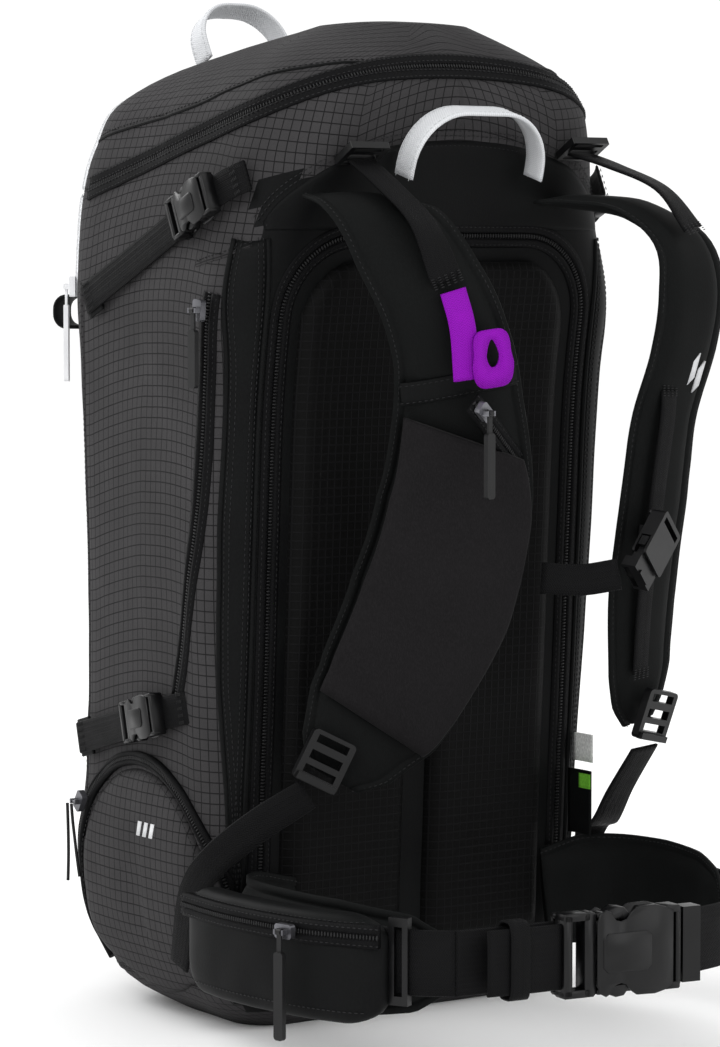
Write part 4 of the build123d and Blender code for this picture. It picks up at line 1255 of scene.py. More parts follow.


# One foam pad of the back panel, its edges coming down to the cloth.
def makeBackPad(side):
    name = "back_pad_right" if side < 0 else "back_pad_left"
    rows = []
    for z in np.arange(backPads["low"], backPads["top"] + 0.1, backPads["step"]):
        outer = backPads["outer"]
        above = z - (backPads["top"] - backPads["radius"])
        if above > 0:
            outer -= backPads["radius"] - math.sqrt(max(backPads["radius"] ** 2 - above ** 2, 0))
        rows.append((z, outer))
    count = 18
    points, uvs = [], []
    for z, outer in rows:
        for k in range(count + 1):
            x = backPads["inner"] + (outer - backPads["inner"]) * k / count
            spot, _ = cast(side * x, z, "back")
            fromEdge = min(x - backPads["inner"], outer - x, z - backPads["low"], backPads["top"] - z)
            soft = min(max(fromEdge / 12.0, 0), 1)
            high = backPads["thick"] * math.sin(soft * math.pi / 2) ** 0.7 - 0.1
            high += 0.5 * noise.noise(Vector((x / 30, z / 34, side))) * soft
            points.append(np.array([spot[0], spot[1] - high - 0.1, z]))
            uvs.append((x, z))
    faces = gridFaces(len(rows), count + 1, wrap=False)
    base = len(points)
    points += [p + np.array([0, -p[1] + cast(p[0], p[2], "back")[0][1] + 1.0, 0]) for p in points]
    uvs += uvs[:base]
    faces += [tuple(base + v for v in reversed(f)) for f in faces]
    wide, tall = count + 1, len(rows)
    border = list(range(wide)) + [j * wide + wide - 1 for j in range(1, tall)] \
        + [(tall - 1) * wide + i for i in range(wide - 2, -1, -1)] + [j * wide for j in range(tall - 2, 0, -1)]
    faces += [(b, a, a + base, b + base) for a, b in zip(border, border[1:] + border[:1])]
    piece = meshPiece(name, points, faces, uvs, "padCloth")
    settle(piece, "bag", "back_foam", "back_pads", fill=0.8)
    return piece


backPadPieces = [makeBackPad(-1), makeBackPad(1)]

hip = {
    "right": [((-98, -94.5, 67), 62, 10), ((-126, -99, 70), 70, 12), ((-144, -118, 71), 70, 12),
              ((-150, -158, 71), 70, 12), ((-143, -208, 71), 68, 12), ((-123, -252, 72), 56, 12),
              ((-108, -268, 73), 30, 8)],
    "left": [((98, -94.5, 67), 62, 10), ((126, -99, 70), 70, 12), ((143, -118, 71), 70, 12),
             ((149, -152, 71), 70, 12), ((145, -188, 71), 66, 12), ((132, -220, 72), 52, 12),
             ((120, -238, 73), 26, 8)],
    "pocket": [(-166.5, -98), (-169.5, -125), (-170.6, -152), (-168, -182), (-162.5, -212), (-153, -238),
               (-142.5, -254)],
    "pocketLow": 39.0, "pocketHigh": 102.0, "pocketThick": 24.0,
}


def makeWings():
    for side, seed in (("right", 12.0), ("left", 15.0)):
        stations = [(place, (0, 0, 1), wide, thick) for place, wide, thick in hip[side]]
        node = "hip_wing_" + side
        piece, line, across, outs, wides, thicks, edges = padStrap(node + "_pad", stations, "foamCloth", rim=6.0,
                                                                  seed=seed)
        settle(piece, "bag", "black_nylon", node, fill=0.8)
        for k in (-1, 1):
            sew("bag", "stitch", edges[k], outs)


makeWings()


# The zipped pocket on the right wing: a pouch with a bound top and bottom edge.
def makeHipPocket():
    line = smoothPath([(x, y, 0) for x, y in hip["pocket"]], 4.0)
    along = tangents(line)
    outs = [unit(np.array([-t[1], t[0], 0])) for t in along]
    outs = [o if o[0] < 0 else -o for o in outs]
    middle = (hip["pocketLow"] + hip["pocketHigh"]) / 2
    line[:, 2] = middle
    loops = []
    count = len(line)
    for n in range(count):
        t = n / (count - 1)
        close = min(t / 0.12, 1.0), min((1 - t) / 0.16, 1.0)
        shape = math.sin(min(close) * math.pi / 2) ** 0.6
        tall = (hip["pocketHigh"] - hip["pocketLow"]) / 2 * (0.62 + 0.38 * shape)
        thick = hip["pocketThick"] / 2 * (0.45 + 0.55 * shape)
        loop = []
        for k in range(36):
            a = 2 * math.pi * k / 36
            c, s = math.cos(a), math.sin(a)
            up = tall * (abs(s) ** 0.5) * (1 if s > 0 else -1)
            out = thick * (abs(c) ** 0.62) * (1 if c > 0 else -1)
            if c > 0:
                out += 1.0 * noise.noise(Vector((n * 4 / 22, up / 20, 8.8))) * shape
            loop.append((up, out))
        loops.append(loop)
    piece = sweptPiece("hip_pocket_body", line, [np.array([0, 0, 1.0])] * count, outs, loops, "nylon")
    settle(piece, "bag", "black_nylon", "hip_pocket", fill=0.7)
    for up in (-23.5, 27.5):
        rim = []
        for n in range(2, count - 3):
            way = n / (count - 1)
            shape = math.sin(min(min(way / 0.12, 1), min((1 - way) / 0.16, 1)) * math.pi / 2) ** 0.6
            s = abs(up) / (31.5 * (0.62 + 0.38 * shape))
            s = min(s, 0.98) ** 2
            c = math.sqrt(max(1 - s * s, 0)) ** 0.62
            proud = hip["pocketThick"] / 2 * (0.45 + 0.55 * shape) * c + 0.35
            rim.append(line[n] + np.array([0, 0, up]) + outs[n] * proud)
        rim = smoothPath(rim, 4.0)
        sew("bag", "stitch", rim, [outs[min(n, count - 1)] for n in range(len(rim))])
    return piece, line, outs


hipPocket, hipLine, hipOuts = makeHipPocket()
print("stage: hip belt pads made")


def makeHipZip():
    path = [(-180.2, -100), (-183.2, -128), (-184.2, -153), (-181.6, -184), (-175.8, -217), (-166, -240), (-155, -260)]
    line = smoothPath([(x, y, 91) for x, y in path], 4.0)
    along = tangents(line)
    outs = [unit(np.array([-t[1], t[0], 0])) for t in along]
    outs = [o if o[0] < 0 else -o for o in outs]
    line = line - np.array(outs) * 1.2
    h = 6.6
    loop = [(-h, -4.6), (-h, 0.6), (-2.8, 1.9), (-2.0, 0.8), (2.0, 0.8), (2.8, 1.9), (h, 0.6), (h, -4.6)]
    across = [np.array([0, 0, 1.0])] * len(line)
    piece = sweptPiece("hip_zip_tape", line, across, outs, loop, "zipTape")
    sew("bag", "teeth", line + np.array(outs) * 1.0, outs)
    for side in (-4.8, 4.8):
        sew("bag", "stitch", line + np.array([0, 0, side]) + np.array(outs) * 1.35, outs)
    return piece


def makeStrapZip():
    out = unit(np.array([-0.30, -0.93, 0.20]))
    start, end = np.array([-43, -206.4, 384.6]), np.array([-1, -189.4, 352.6])
    line = smoothPath([start + (start - end) * 0.06, (start + end) / 2 + out * 0.6, end + (end - start) * 0.06], 3.5)
    along = tangents(line)
    across = [unit(np.cross(out, t)) for t in along]
    outs = [unit(np.cross(t, a)) for t, a in zip(along, across)]
    loop = [(-6.5, -2.6), (-6.5, -1.1), (-2.6, 0.2), (-1.9, -0.7), (1.9, -0.7), (2.6, 0.2), (6.5, -1.1), (6.5, -2.6)]
    piece = sweptPiece("strap_zip_tape", line, across, outs, loop, "zipTape")
    sew("bag", "teeth", line - np.array(outs) * 0.6, outs)
    for side in (-1, 1):
        sew("bag", "stitch", line + np.array(across) * side * 4.6 - np.array(outs) * 0.25, outs)
    return piece


hipZip, strapZip = makeHipZip(), makeStrapZip()
for piece in (sideZip, hipZip, strapZip):
    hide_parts("pocket_zip_tracks")
for piece in (hipZip, strapZip):
    settle(piece, "bag", "zip_tape")

web = {"narrow": 20.0, "wide": 38.0, "thick": 2.0, "standOff": 7.5}


def sideX(y, z):
    back, front, backHalf, frontHalf, _, _ = sectionAt(z)
    return backHalf + (frontHalf - backHalf) * (y - back) / (front - back)


# Three axes: along a strap, across it, and away from the surface below.
def localAxes(origin, along, outward):
    x = unit(np.array(along, float))
    z = np.array(outward, float)
    z = unit(z - x * np.dot(z, x))
    return np.array(origin, float), x, np.cross(z, x), z


# The buckle mouth of a side strap and its directions, as in the CAD model.
def strapAxes(side, mouth, tail):
    x, tailX = (side * (sideX(*p) + web["standOff"]) for p in (mouth, tail))
    return localAxes((x, *mouth), (x - tailX, mouth[0] - tail[0], mouth[1] - tail[1]), (side, 0, 0))


# A dense row of stitches that holds a strap's end.
def barTack(body, place, across, outs, width):
    rows = 5
    for k in range(rows):
        t = (k - (rows - 1) / 2) * 1.5
        run = np.cross(across, outs)
        a, b = place + run * t - across * width * 0.42, place + run * t + across * width * 0.42
        line = evenSteps(np.array([a, b]), 3.0)
        sew(body, "stitch", line, [outs] * len(line))


def makeSideStraps():
    pieces = []
    for level, mouth, tail in (("upper", (-54, 497), (60, 445)), ("lower", (-2, 188), (80, 168))):
        for side in (-1, 1):
            tag = f"{level}_{'right' if side < 0 else 'left'}"
            origin, x, y, z = strapAxes(side, mouth, tail)
            reach = math.dist(mouth, tail) + 2
            run = np.linspace(-reach, -6.0, 28)
            line = [origin + x * t + z * (-1.5 - 0.7 * math.sin(math.pi * min(max((t + reach) / reach, 0), 1)) *
                                          noise.noise(Vector((t / 30, side, 2)))) for t in run]
            pieces.append(sweptPiece("strap_" + tag, line, [y] * len(line), [z] * len(line),
                                     webLoop(20, 2), "webbing"))
            rear = 32.0
            stub = [origin + x * t + z * (-1.1 - 0.016 * max(t - rear, 0) ** 2)
                    for t in np.linspace(rear - 6, rear + 22, 10)]
            pieces.append(sweptPiece("stub_" + tag, stub, [y] * 10, [z] * 10, webLoop(20, 2), "webbing"))
            barTack("bag", origin + x * (rear + 15) + z * -3.0, y, z, 20)
            anchor = [origin + x * t + z * -3.6 for t in np.linspace(-reach - 2, -reach + 14, 8)]
            patch = sweptPiece("anchor_" + tag, anchor, [y] * 8, [z] * 8, webLoop(24, 1.6), "nylon")
            settle(patch, "bag", "webbing", "sewn_anchors")
            barTack("bag", origin + x * (-reach + 5) + z * -0.4, y, z, 20)
    for piece in pieces:
        settle(piece, "bag", "webbing", "side_strap_webbing")


# The middle line of a carry loop that stands on two feet.
def archLine(half, rise, radius, spacing=3.0):
    points = [(-half, 0.0)]
    points += [(-half, z) for z in np.arange(4, rise - radius, 4)]
    points += [(-half + radius * (1 - math.cos(a)), rise - radius + radius * math.sin(a))
               for a in np.linspace(0, math.pi / 2, 10)]
    points += [(x, rise) for x in np.arange(-half + radius, 0, 4)][1:]
    whole = points + [(-x, z) for x, z in reversed(points)]
    return evenSteps(np.array(whole), spacing)


# A carry loop of webbing bent over into an arch.
def makeLoop(name, body, node, origin, tilt, half, rise, radius, width, finish, slot, lean=0.0):
    plan = archLine(half - 1.2, rise - 1.2, radius)
    turn = math.radians(tilt)
    up = np.array([0, -math.sin(turn), math.cos(turn)])
    across = np.array([0, math.cos(turn), math.sin(turn)])
    line = [np.array(origin) + np.array([1.0, 0, 0]) * x + up * z for x, z in plan]
    along = tangents(np.array(line))
    middle = np.array(origin) + up * rise * 0.4
    outs = []
    for place, t in zip(line, along):
        out = unit(np.cross(across, t))
        outs.append(out if np.dot(out, place - middle) > 0 else -out)
    acrosses = [unit(across + out * lean * math.sin(math.pi * i / (len(line) - 1))) for i, out in enumerate(outs)]
    piece = sweptPiece(name, line, acrosses, outs, webLoop(width, 2.2), finish)
    settle(piece, body, slot, node)
    return line, acrosses, outs


def makeHaulLoops():
    for name, body, origin, tilt, half, rise, radius in (
            ("haul_loop_back", "haul_loop_back", (2, -139.5, 519), 16, 50, 42, 34),
            ("haul_loop_front", "haul_loop_front", (-22, 62, 593.5), -28, 33, 40, 26)):
        line, acrosses, outs = makeLoop(name + "_web", body, name, origin, tilt, half, rise, radius, 18,
                                        "paleWebbing", "pale_webbing")
        for edge in (-6.6, 6.6):
            sew(body, "paleStitch", [p + a * edge + o * 1.15 for p, a, o in zip(line, acrosses, outs)], outs)


# The black loop for ski tails at the front corner.
def makeSkiLoop():
    out = unit(np.array([-0.5, 0.87, 0]))
    up = np.array([0, 0, 1.0])
    across = unit(np.cross(out, up))
    plan = archLine(9.8, 16.8, 8, 2.0)
    origin = np.array([-111, 114.5, 436.0])
    line = [origin + up * a + out * b for a, b in plan]
    along = tangents(np.array(line))
    middle = origin + out * 7
    outs = []
    for place, t in zip(line, along):
        o = unit(np.cross(across, t))
        outs.append(o if np.dot(o, place - middle) > 0 else -o)
    piece = sweptPiece("ski_loop_web", line, [across] * len(line), outs, webLoop(22, 2.2), "webbing")
    settle(piece, "bag", "webbing", "sewn_anchors")


def makeHarnessWebs():
    runsOf = {
        "lifter_right": ([((-78, -134, 531), (1, 0, 0)), ((-76, -162, 514), (1, 0, 0)), ((-72, -192, 491), (1, 0, 0)),
                          ((-63, -203, 458), (0.94, -0.34, 0))], 20),
        "lifter_left": ([((88, -134, 535), (1, 0, 0)), ((94, -165, 526), (1, 0.3, 0)), ((106, -196, 512), (0.9, 0.4, 0)),
                         ((116, -213, 488), (0.98, 0.19, 0))], 20),
        "rail_left": ([((111.7, -196.4, 390), (0.98, 0.19, 0)), ((111.2, -196.2, 374), (0.98, 0.19, 0)),
                       ((109.2, -189.2, 326), (0.98, 0.19, 0)), ((104.2, -184.2, 265), (0.98, 0.19, 0)),
                       ((106.8, -176.4, 216), (0.98, 0.19, 0))], 14)}
    for name, (stations, width) in runsOf.items():
        piece, line, across, outs = webPiece(name, stations, width)
        for i in (0, -1):
            barTack("bag", line[i] + outs[i] * 1.2, across[i], outs[i], width)
        settle(piece, "bag", "webbing", "harness_webbing")


# The bright tab: a flat strip and a folded loop with an eye, tucked in a sleeve.
def makeGrabTab():
    lean = (0.94, -0.34, 0)
    strip, _, _, _ = webPiece("grab_strip", [((-60, -205, 452), lean), ((-54, -206.5, 430), lean),
                                             ((-48, -202.5, 400), lean)], 16, 2.0, "purpleWebbing", 2.5)
    line, across, outs, _ = ribbonAxes([(-40.5, -212, 435), (-38, -213.5, 419), (-34, -210.5, 399)],
                                       [lean] * 3, 1.6)
    points, uvs, faces = [], [], []
    ringCount = 40
    middle = len(line) // 2
    centre, a0, o0 = line[middle] + 0, across[middle], outs[middle]
    run = unit(np.cross(o0, a0))
    if run[2] < 0:
        run = -run
    low, high = -21.5, 13.5
    for lift in (1.0, -1.0):
        for k in range(ringCount):
            a = 2 * math.pi * k / ringCount
            c, s = math.cos(a), math.sin(a)
            wide = 11.2 * (abs(c) ** 0.45) * (1 if c > 0 else -1)
            tall = (high if s > 0 else -low) * (abs(s) ** 0.6) * (1 if s > 0 else -1)
            wide *= 1.12 if s < 0 else 1.0
            bend = -0.006 * tall * tall
            points.append(centre + a0 * wide + run * tall + o0 * (lift + bend))
            uvs.append((wide, tall))
        for k in range(ringCount):
            a = 2 * math.pi * k / ringCount
            c, s = math.cos(a), math.sin(a)
            tall = -1.5 + 7.5 * s * (1.25 if s > 0 else 1.0)
            wide = 3.9 * c * (1 - 0.35 * max(s, 0))
            points.append(centre + a0 * wide + run * tall + o0 * (lift - 0.006 * tall * tall))
            uvs.append((wide, tall))
    n = ringCount
    for k in range(n):
        j = (k + 1) % n
        faces.append((k, j, n + j, n + k))                          # face
        faces.append((2 * n + j, 2 * n + k, 3 * n + k, 3 * n + j))  # back
        faces.append((j, k, 2 * n + k, 2 * n + j))                  # rim
        faces.append((n + k, n + j, 3 * n + j, 3 * n + k))          # eye
    loop = meshPiece("grab_loop", points, faces, uvs, "purpleWebbing")
    for piece in (strip, loop):
        settle(piece, "bag", "purple_webbing", "grab_tab")


# Webbing from each ladder lock to the bag's bottom corner.
def makeLowerWebs():
    runsOf = {
        "right": [((-113.6, -134.4, 154.6), (0.85, -0.27, -0.45)), ((-140, -120, 136), (0.41, -0.40, -0.81)),
                  ((-154.5, -97, 114), (0.38, -0.50, -0.77)), ((-158.4, -76, 90), (0.17, -0.81, -0.56)),
                  ((-157, -62, 46), (-0.05, -1, 0))],
        "left": [((117.6, -168.2, 168.4), (0.95, 0.23, -0.2)), ((126, -135, 138), (0.97, -0.2, 0.1)),
                 ((138, -105, 113), (0.85, -0.5, 0.15)), ((151, -72, 100), (0.1, -0.98, 0)),
                 ((151.5, -62, 46), (0.05, -1, 0))]}
    for side, stations in runsOf.items():
        piece, line, across, outs = webPiece("lower_web_" + side, stations, 20)
        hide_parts("lower_webbing_" + side)
        end, start = line[0] * toMetres, line[len(line) // 3] * toMetres
        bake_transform(piece)


def makeSternumWeb():
    top, low = np.array([100, -205, 312.0]), np.array([64, -213, 271.0])
    run = unit(low - top)
    origin, x, y, z = localAxes(top + run * 33, -run, (0.5, -0.85, 0.1))
    inner = origin + x * -12 + z * -1.5
    stations = [((25, -181, 279), (0, 0, 1)), ((44, -196, 278), (0, 0.1, 1)),
                ((inner[0] - 9, inner[1] - 1, inner[2] + 3), (-0.2, 0.1, 1))]
    piece, line, across, outs = webPiece("sternum_web", stations, 19)
    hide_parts("sternum_webbing")
    tuple(line[0] * toMetres)
    tuple(line[-1] * toMetres)
    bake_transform(piece)


def beltAxes():
    start, end = np.array([-118, -284.5, 76.0]), np.array([34, -305.4, 76.0])
    return localAxes((-33, -296.2, 76), end - start, (0, -1, 0))


# A belt on edge, seen from above as a line of points.
def levelWeb(name, points, width, lift=0.0, thick=2.0, finish="webbing"):
    line = smoothPath([(x, y, 76.0) for x, y in points], 4.0)
    along = tangents(line)
    outs = [unit(np.array([t[1], -t[0], 0])) for t in along]
    line = line + np.array([[0, 0, 0.5 * noise.noise(Vector((p[0] / 30, p[1] / 30, 1)))] for p in line])
    return sweptPiece(name, line, [np.array([0, 0, 1.0])] * len(line), outs, webLoop(width, thick), finish), line, outs


def makeBeltWebs():
    origin, x, y, z = beltAxes()
    wide = web["wide"]
    root, _, _ = levelWeb("belt_root", [(-141, -246), (-132, -268), (-118.4, -284.4)], wide)
    pieces = [root]
    line = [origin + x * t + z * (-1.5 + 0.5 * math.sin(t / 17)) for t in np.linspace(-86, -11, 20)]
    pieces.append(sweptPiece("belt_front", line, [y] * 20, [z] * 20, webLoop(wide, 2), "webbing"))
    end = wide * 1.35 + 5
    line = [origin + x * t + z * -1.1 for t in np.linspace(end - 6.4, end + 17, 8)]
    pieces.append(sweptPiece("belt_from_socket", line, [y] * 8, [z] * 8, webLoop(wide, 2), "webbing"))
    start = origin + x * (end + 17) + z * -1.1
    left, leftLine, leftOuts = levelWeb("belt_left", [(start[0], start[1]), (76, -294), (118, -262), (141, -222),
                                                      (152.5, -176)], wide)
    pieces.append(left)
    for piece in pieces:
        settle(piece, "bag", "webbing", "hip_webbing")
    barTack("bag", leftLine[-2] + leftOuts[-2] * 1.2, np.array([0, 0, 1.0]), leftOuts[-2], wide)
    line = [origin + x * t + z * (8.3 + 0.6 * math.sin((t + 70) / 14)) for t in np.linspace(-70, -21.5, 14)]
    tail = sweptPiece("belt_tail", line, [y] * 14, [z] * 14, webLoop(wide, 1.8), "webbing")
    keeper = loopBand("belt_keeper", origin, x, y, z, -50, 13, 44, (-4.0, 11.2), 1.6)
    for piece in (tail, keeper):
        settle(piece, "hip_tongue", "webbing", "hip_tail")


# A narrow elastic loop round a belt: a rounded oblong ring.
def loopBand(name, origin, x, y, z, place, width, tall, reach, thick, finish="webbing"):
    low, high = reach
    middle, half = (low + high) / 2, (high - low) / 2
    line, outs = [], []
    for k in range(33):
        a = 2 * math.pi * k / 32
        c, s = math.cos(a), math.sin(a)
        up = (tall / 2) * (abs(c) ** 0.35) * (1 if c > 0 else -1)
        out = middle + half * (abs(s) ** 0.5) * (1 if s > 0 else -1)
        line.append(origin + x * place + y * up + z * out)
        outs.append(unit(y * c * 0.6 + z * s))
    return sweptPiece(name, line, [x] * 33, outs, webLoop(width, thick), finish)


# Blank woven labels sewn into the edge of the back panel.
def makeLabels():
    for name, x0, y0, y1, z0, z1, finish in (("size_tab", 127.4, -106, -86.5, 151, 169, "label"),
                                             ("care_label", 121.4, -112, -88.5, 106, 147, "nylon"),
                                             ("care_patch", 121.4, -111.6, -99, 135, 145, "labelGreen")):
        proud = 0.25 if name == "care_patch" else 0.0
        line = [np.array([x0 + 0.9 * math.sin((y - y0) / 9), y, (z0 + z1) / 2]) for y in np.linspace(y0, y1, 8)]
        outs = [np.array([-1.0, 0, 0])] * 8
        piece = sweptPiece(name, line, [np.array([0, 0, 1.0])] * 8, outs, webLoop(z1 - z0, 0.8 + proud), finish)
        settle(piece, "bag", "label", "side_labels")


makeSideStraps()
makeHaulLoops()
makeSkiLoop()
makeHarnessWebs()
makeGrabTab()
makeLowerWebs()
makeSternumWeb()
makeBeltWebs()
makeLabels()
print("stage: webbing made")


buckle = {     # outlines in widths of webbing: the mouth is at 0, the socket runs to +x
    "plate": [(0, 0.48), (0.05, 0.60), (0.16, 0.66), (0.24, 0.62), (0.32, 0.50), (0.42, 0.47), (0.52, 0.50),
              (0.60, 0.60), (0.70, 0.67), (1.02, 0.68), (1.2, 0.64), (1.35, 0.56)],
    "prong": [(0, 0.40), (0, 0.50), (0.18, 0.53), (0.26, 0.64), (0.36, 0.685), (0.50, 0.67), (0.58, 0.58),
              (0.64, 0.50), (0.72, 0.47), (0.73, 0.42), (0.58, 0.42), (0.46, 0.50), (0.34, 0.50), (0.24, 0.42)],
    "bevel": 0.7,
}


# Points and faces of a bevelled slab from an outline in local x and y.
def slabMesh(axes, outline, low, high, bevel):
    origin, x, y, z = axes
    flat = np.array(outline, float)
    middle = flat.mean(axis=0)
    reach = np.maximum(np.linalg.norm(flat - middle, axis=1, keepdims=True), 1e-6)
    inner = flat + (middle - flat) / reach * bevel
    levels = [(inner, low), (flat, low + bevel), (flat, high - bevel), (inner, high)]
    points = [origin + x * u + y * v + z * w for ring, w in levels for u, v in ring]
    n = len(outline)
    faces = [(k * n + i, k * n + (i + 1) % n, (k + 1) * n + (i + 1) % n, (k + 1) * n + i)
             for k in range(3) for i in range(n)]
    return points, faces + [tuple(range(n - 1, -1, -1)), tuple(range(3 * n, 4 * n))]


def slabPiece(name, slabs, axes, finish="plastic"):
    points, faces = [], []
    for outline, low, high, bevel in slabs:
        more, sides = slabMesh(axes, outline, low, high, bevel)
        faces += [tuple(len(points) + i for i in f) for f in sides]
        points += more
    return meshPiece(name, points, faces, [(0, 0)] * len(points), finish)


def rectangle(x0, x1, y0, y1, r=0.8):
    low = [(x0, y0 + r), (x0 + r, y0), (x1 - r, y0), (x1, y0 + r)]
    high = [(x1, y1 - r), (x1 - r, y1), (x0 + r, y1), (x0, y1 - r)]
    return low[1:] + high + low[:1]


def mirrored(half, w, length):
    up = [(min(a * w, length), b * w) for a, b in half]
    return up + [(a, -b) for a, b in reversed(up)]


# The female half: two plates, posts beside the mouth, a raised panel, a solid rear with its bar.
def socketSlabs(w):
    height, length, b = w * 0.22 + 5.4, w * 1.35 + 5, buckle["bevel"]
    plate = mirrored(buckle["plate"], w, length)
    slabs = [(plate, height - 3.1, height - 1.2, b), (plate, -1.2, 0.4, 0.5),
             (rectangle(w * 0.82, w * 1.2, -w * 0.64, w * 0.64), 0.2, height - 2.6, b)]
    for s in (-1, 1):
        slabs.append((rectangle(0.6, w * 0.17, *sorted((s * w * 0.54, s * w * 0.62))), 0.2, height - 2.8, 0.3))
        slabs.append((rectangle(w * 1.18, length, *sorted((s * w * 0.53, s * w * 0.64))), -0.8, height - 1.8, b))
    slabs.append((rectangle(w * 0.1, w * 0.95, -w * 0.3, w * 0.3, w * 0.08), height - 1.4, height - 0.5, 0.4))
    slabs.append((rectangle(length - 3, length, -w * 0.6, w * 0.6), -0.8, height - 2.0, b))
    return slabs


# The male half: a ladder frame round the webbing, a guide and two sprung prongs.
def tongueSlabs(w, withProngs):
    height, back = w * 0.22 + 5.4, -w * 0.56
    top = height - 2.6
    slabs = [(rectangle(-w * 0.2, -0.4, -w * 0.64, w * 0.64, 1.2), 0.6, top, 0.6),
             (rectangle(back, back + w * 0.14, -w * 0.62, w * 0.62, 1.0), 0.4, top, 0.6),
             (rectangle(back, back + 6, -w * 0.62, w * 0.62, 1.0), -4.1, -2.9, 0.3),
             (rectangle(-0.6, w * 0.7, -w * 0.09, w * 0.09), 1.0, top - 1.2, 0.4)]
    for s in (-1, 1):
        slabs.append((rectangle(back, -w * 0.1, *sorted((s * w * 0.52, s * w * 0.64))), 0.4, top, 0.6))
        slabs.append((rectangle(back, back + 6, *sorted((s * w * 0.53, s * w * 0.62))), -4.0, 0.8, 0.3))
        if withProngs:
            slabs.append(prongSlab(w, s))
    return slabs


def prongSlab(w, side):
    height = w * 0.22 + 5.4
    return [(a * w + 0.1, side * b * w) for a, b in buckle["prong"]], 1.0, height - 3.4, 0.5


def makeBuckles():
    for level, mouth, tail in (("upper", (-54, 497), (60, 445)), ("lower", (-2, 188), (80, 168))):
        for side in (-1, 1):
            tag = f"{level}_{'right' if side < 0 else 'left'}"
            axes = strapAxes(side, mouth, tail)
            socket = slabPiece("socket_" + tag, socketSlabs(20), axes)
            tongue = slabPiece("prongs_" + tag, tongueSlabs(20, True), axes)
            settle(socket, "bag", "buckle_plastic", "side_buckle_sockets")
            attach(tongue, "tongue_" + tag)
            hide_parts("tongue_" + tag)
    axes = beltAxes()
    socket = slabPiece("hip_socket_shell", socketSlabs(38), axes)
    tongue = slabPiece("hip_tongue_frame", tongueSlabs(38, False), axes)
    settle(socket, "bag", "buckle_plastic", "hip_socket")
    settle(tongue, "hip_tongue", "buckle_plastic", "hip_tongue")
    for name, side in (("hip_arm_low", -1), ("hip_arm_high", 1)):
        prong = slabPiece(name + "_prong", [prongSlab(38, side)], axes)
        settle(prong, name, "buckle_plastic", name)


makeBuckles()
print("stage: buckles made")


# The elastic sleeve that holds the bright tab, and a plain mark on the other strap.
def makeSleeve():
    line, across, outs, wides, thicks = straps["right"]
    i = int(np.argmin(np.linalg.norm(line - np.array((-43, -185, 401.0)), axis=1)))
    run = tangents(line)[i]
    reach = np.linspace(-0.46, 0.46, 16) * wides[i]
    bow = [1 - abs(a / (wides[i] / 2)) ** 3.2 for a in reach]
    places = [line[i] + across[i] * a + outs[i] * (1.4 + (thicks[i] / 2 - 1.3) * max(b, 0.05) ** 0.55 + 0.9)
              for a, b in zip(reach, bow)]
    piece = sweptPiece("strap_sleeve", places, [run] * 16, [outs[i]] * 16, webLoop(15, 1.4), "nylon")
    settle(piece, "bag", "black_nylon")
    for side in (-5.5, 5.5):
        sew("bag", "stitch", [q + run * side + outs[i] * 0.8 for q in places], [outs[i]] * 16)
    bars = []
    for k in range(2):
        corners = []
        for u, v in ((0, 0), (5, 0), (5, 15), (0, 15)):
            spot, out, _ = onStrap("left", (128 + k * 7 + u, -199, 392 + v + u * 1.1 - k * 5), 0.35)
            corners.append((spot, out))
        points = [c for c, _ in corners] + [c - o * 1.4 for c, o in corners]
        faces = [(0, 1, 2, 3), (7, 6, 5, 4), (0, 4, 5, 1), (1, 5, 6, 2), (2, 6, 7, 3), (3, 7, 4, 0)]
        bars.append(meshPiece(f"strap_mark_{k}", points, faces, [(0, 0)] * 8, "mark"))
    mark = joined(bars)
    mark.name = "strap_mark"
    settle(mark, "bag", "label")


makeSleeve()

def makePocketCords():
    outward, run = np.array([-0.996, 0.09, 0]), unit(np.array([-0.05, -0.57, 0.82]))
    out = unit(outward - run * np.dot(outward, run))
    pin = np.array([-136.6, 78.5, 128.0]) + out * 6.6
    for k, (shift, drop) in enumerate(((-2.4, 46.0), (2.4, 50.0))):
        top = np.array([pin[0] - 3.6, pin[1] + shift, pin[2] - 1])
        points = [top, top + (0.5, 0.1 * shift, -drop * 0.2), top + (1.6, 0.6 * shift, -drop * 0.5),
                  top + (2.4, 1.2 * shift, -drop * 0.78), top + (3.0, 1.9 * shift, -drop)]
        curve = bpy.data.curves.new(f"pocket_cord_{k}", "CURVE")
        curve.dimensions = "3D"
        spline = curve.splines.new("NURBS")
        spline.points.add(len(points) - 1)
        for point, place in zip(spline.points, points):
            point.co = (*(c * toMetres for c in place), 1.0)
        spline.order_u = 3
        spline.use_endpoint_u = True
        curve.bevel_depth = 1.0 * toMetres
        curve.bevel_resolution = 4
        curve.use_fill_caps = True
        curve.materials.append(finishes["rubber"])
        obj = bpy.data.objects.new(f"pocket_cord_{k}", curve)
        bpy.context.scene.collection.objects.link(obj)
        settle(obj, "pocket_cords", "webbing", "pocket_cords")
        tuple(points[0] * toMetres)


makePocketCords()

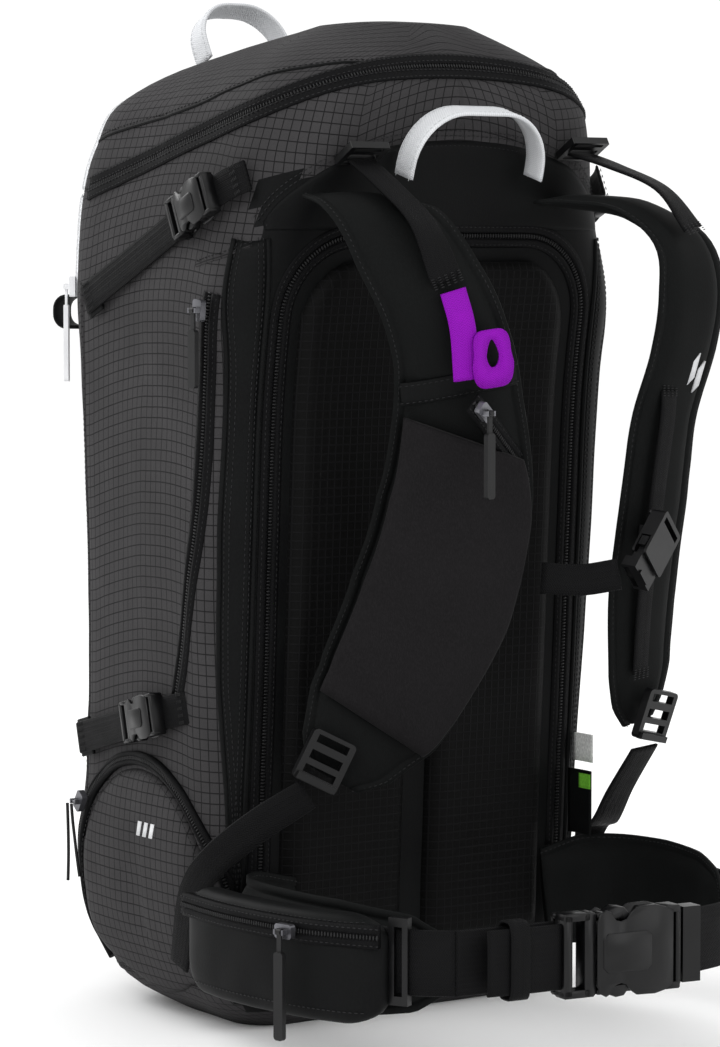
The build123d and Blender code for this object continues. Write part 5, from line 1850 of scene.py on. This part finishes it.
nodeFinishes = {
    "plastic": ["hip_belt_sliders", "ladder_lock_right", "ladder_lock_left", "lifter_buckles", "sternum_socket",
                "sternum_tongue"],
    "metal": ["lid_slider", "side_slider", "pocket_slider", "hip_slider", "back_slider", "strap_slider"],
    "paleSlider": ["front_slider"], "rubber": ["side_pull", "hip_pull", "strap_pull"], "palePull": ["front_pull"],
    "sheetPlastic": ["frame_sheet"], "alloy": ["frame_stays"],
}
for finish, names in nodeFinishes.items():
    for name in names:
        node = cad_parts[name]
        for slot in node.material_slots:
            slot.material = finishes[finish]

makeRows()
print("stage: stitches and zip teeth made")

studio = {"eye": (-1.4355, -2.0065, 0.480), "aim": (0.034, 0.016, 0.300), "lens": 134.3,
          "world": 1.05, "key": 30.0, "fill": 10.0, "rim": 26.0}


def softLight(name, place, aim, size, power):
    lamp = bpy.data.lights.new(name, "AREA")
    lamp.shape, lamp.size, lamp.energy = "DISK", size, power
    obj = bpy.data.objects.new(name, lamp)
    bpy.context.scene.collection.objects.link(obj)
    obj.location = place
    obj.rotation_euler = (Vector(aim) - Vector(place)).to_track_quat("-Z", "Y").to_euler()


def makeStudio():
    mesh = bpy.data.meshes.new("floor")
    mesh.from_pydata([(-20, -20, 0), (20, -20, 0), (20, 20, 0), (-20, 20, 0)], [], [(0, 1, 2, 3)])
    floor = madeObject("floor", mesh, None)
    paint = Finish("floorPaint")
    tone = paint.grain(0.8, 1.0)
    mesh.materials.append(paint.finishWith(
        colour=paint.blendColour(tone, (250, 250, 250), (253, 253, 253)), roughness=0.9, specular=0.1))
    world = bpy.data.worlds.new("studio")
    bpy.context.scene.world = world
    world.use_nodes = True
    world.node_tree.nodes["Background"].inputs[0].default_value = (1, 1, 1, 1)
    world.node_tree.nodes["Background"].inputs[1].default_value = studio["world"]
    softLight("key", (-2.4, -1.2, 2.4), (0, 0, 0.35), 1.6, studio["key"])
    softLight("fill", (1.2, -2.6, 1.5), (0, 0, 0.3), 1.8, studio["fill"])
    softLight("rim", (-0.8, 2.4, 2.2), (0, 0, 0.4), 1.4, studio["rim"])
    camera = bpy.data.objects.new("camera", bpy.data.cameras.new("camera"))
    bpy.context.scene.collection.objects.link(camera)
    camera.location = studio["eye"]
    camera.rotation_euler = (Vector(studio["aim"]) - Vector(studio["eye"])).to_track_quat("-Z", "Y").to_euler()
    camera.data.lens, camera.data.sensor_width = studio["lens"], 36.0
    bpy.context.scene.camera = camera
    bpy.context.scene.view_settings.view_transform = "Standard"


makeStudio()
print("stage: studio made")
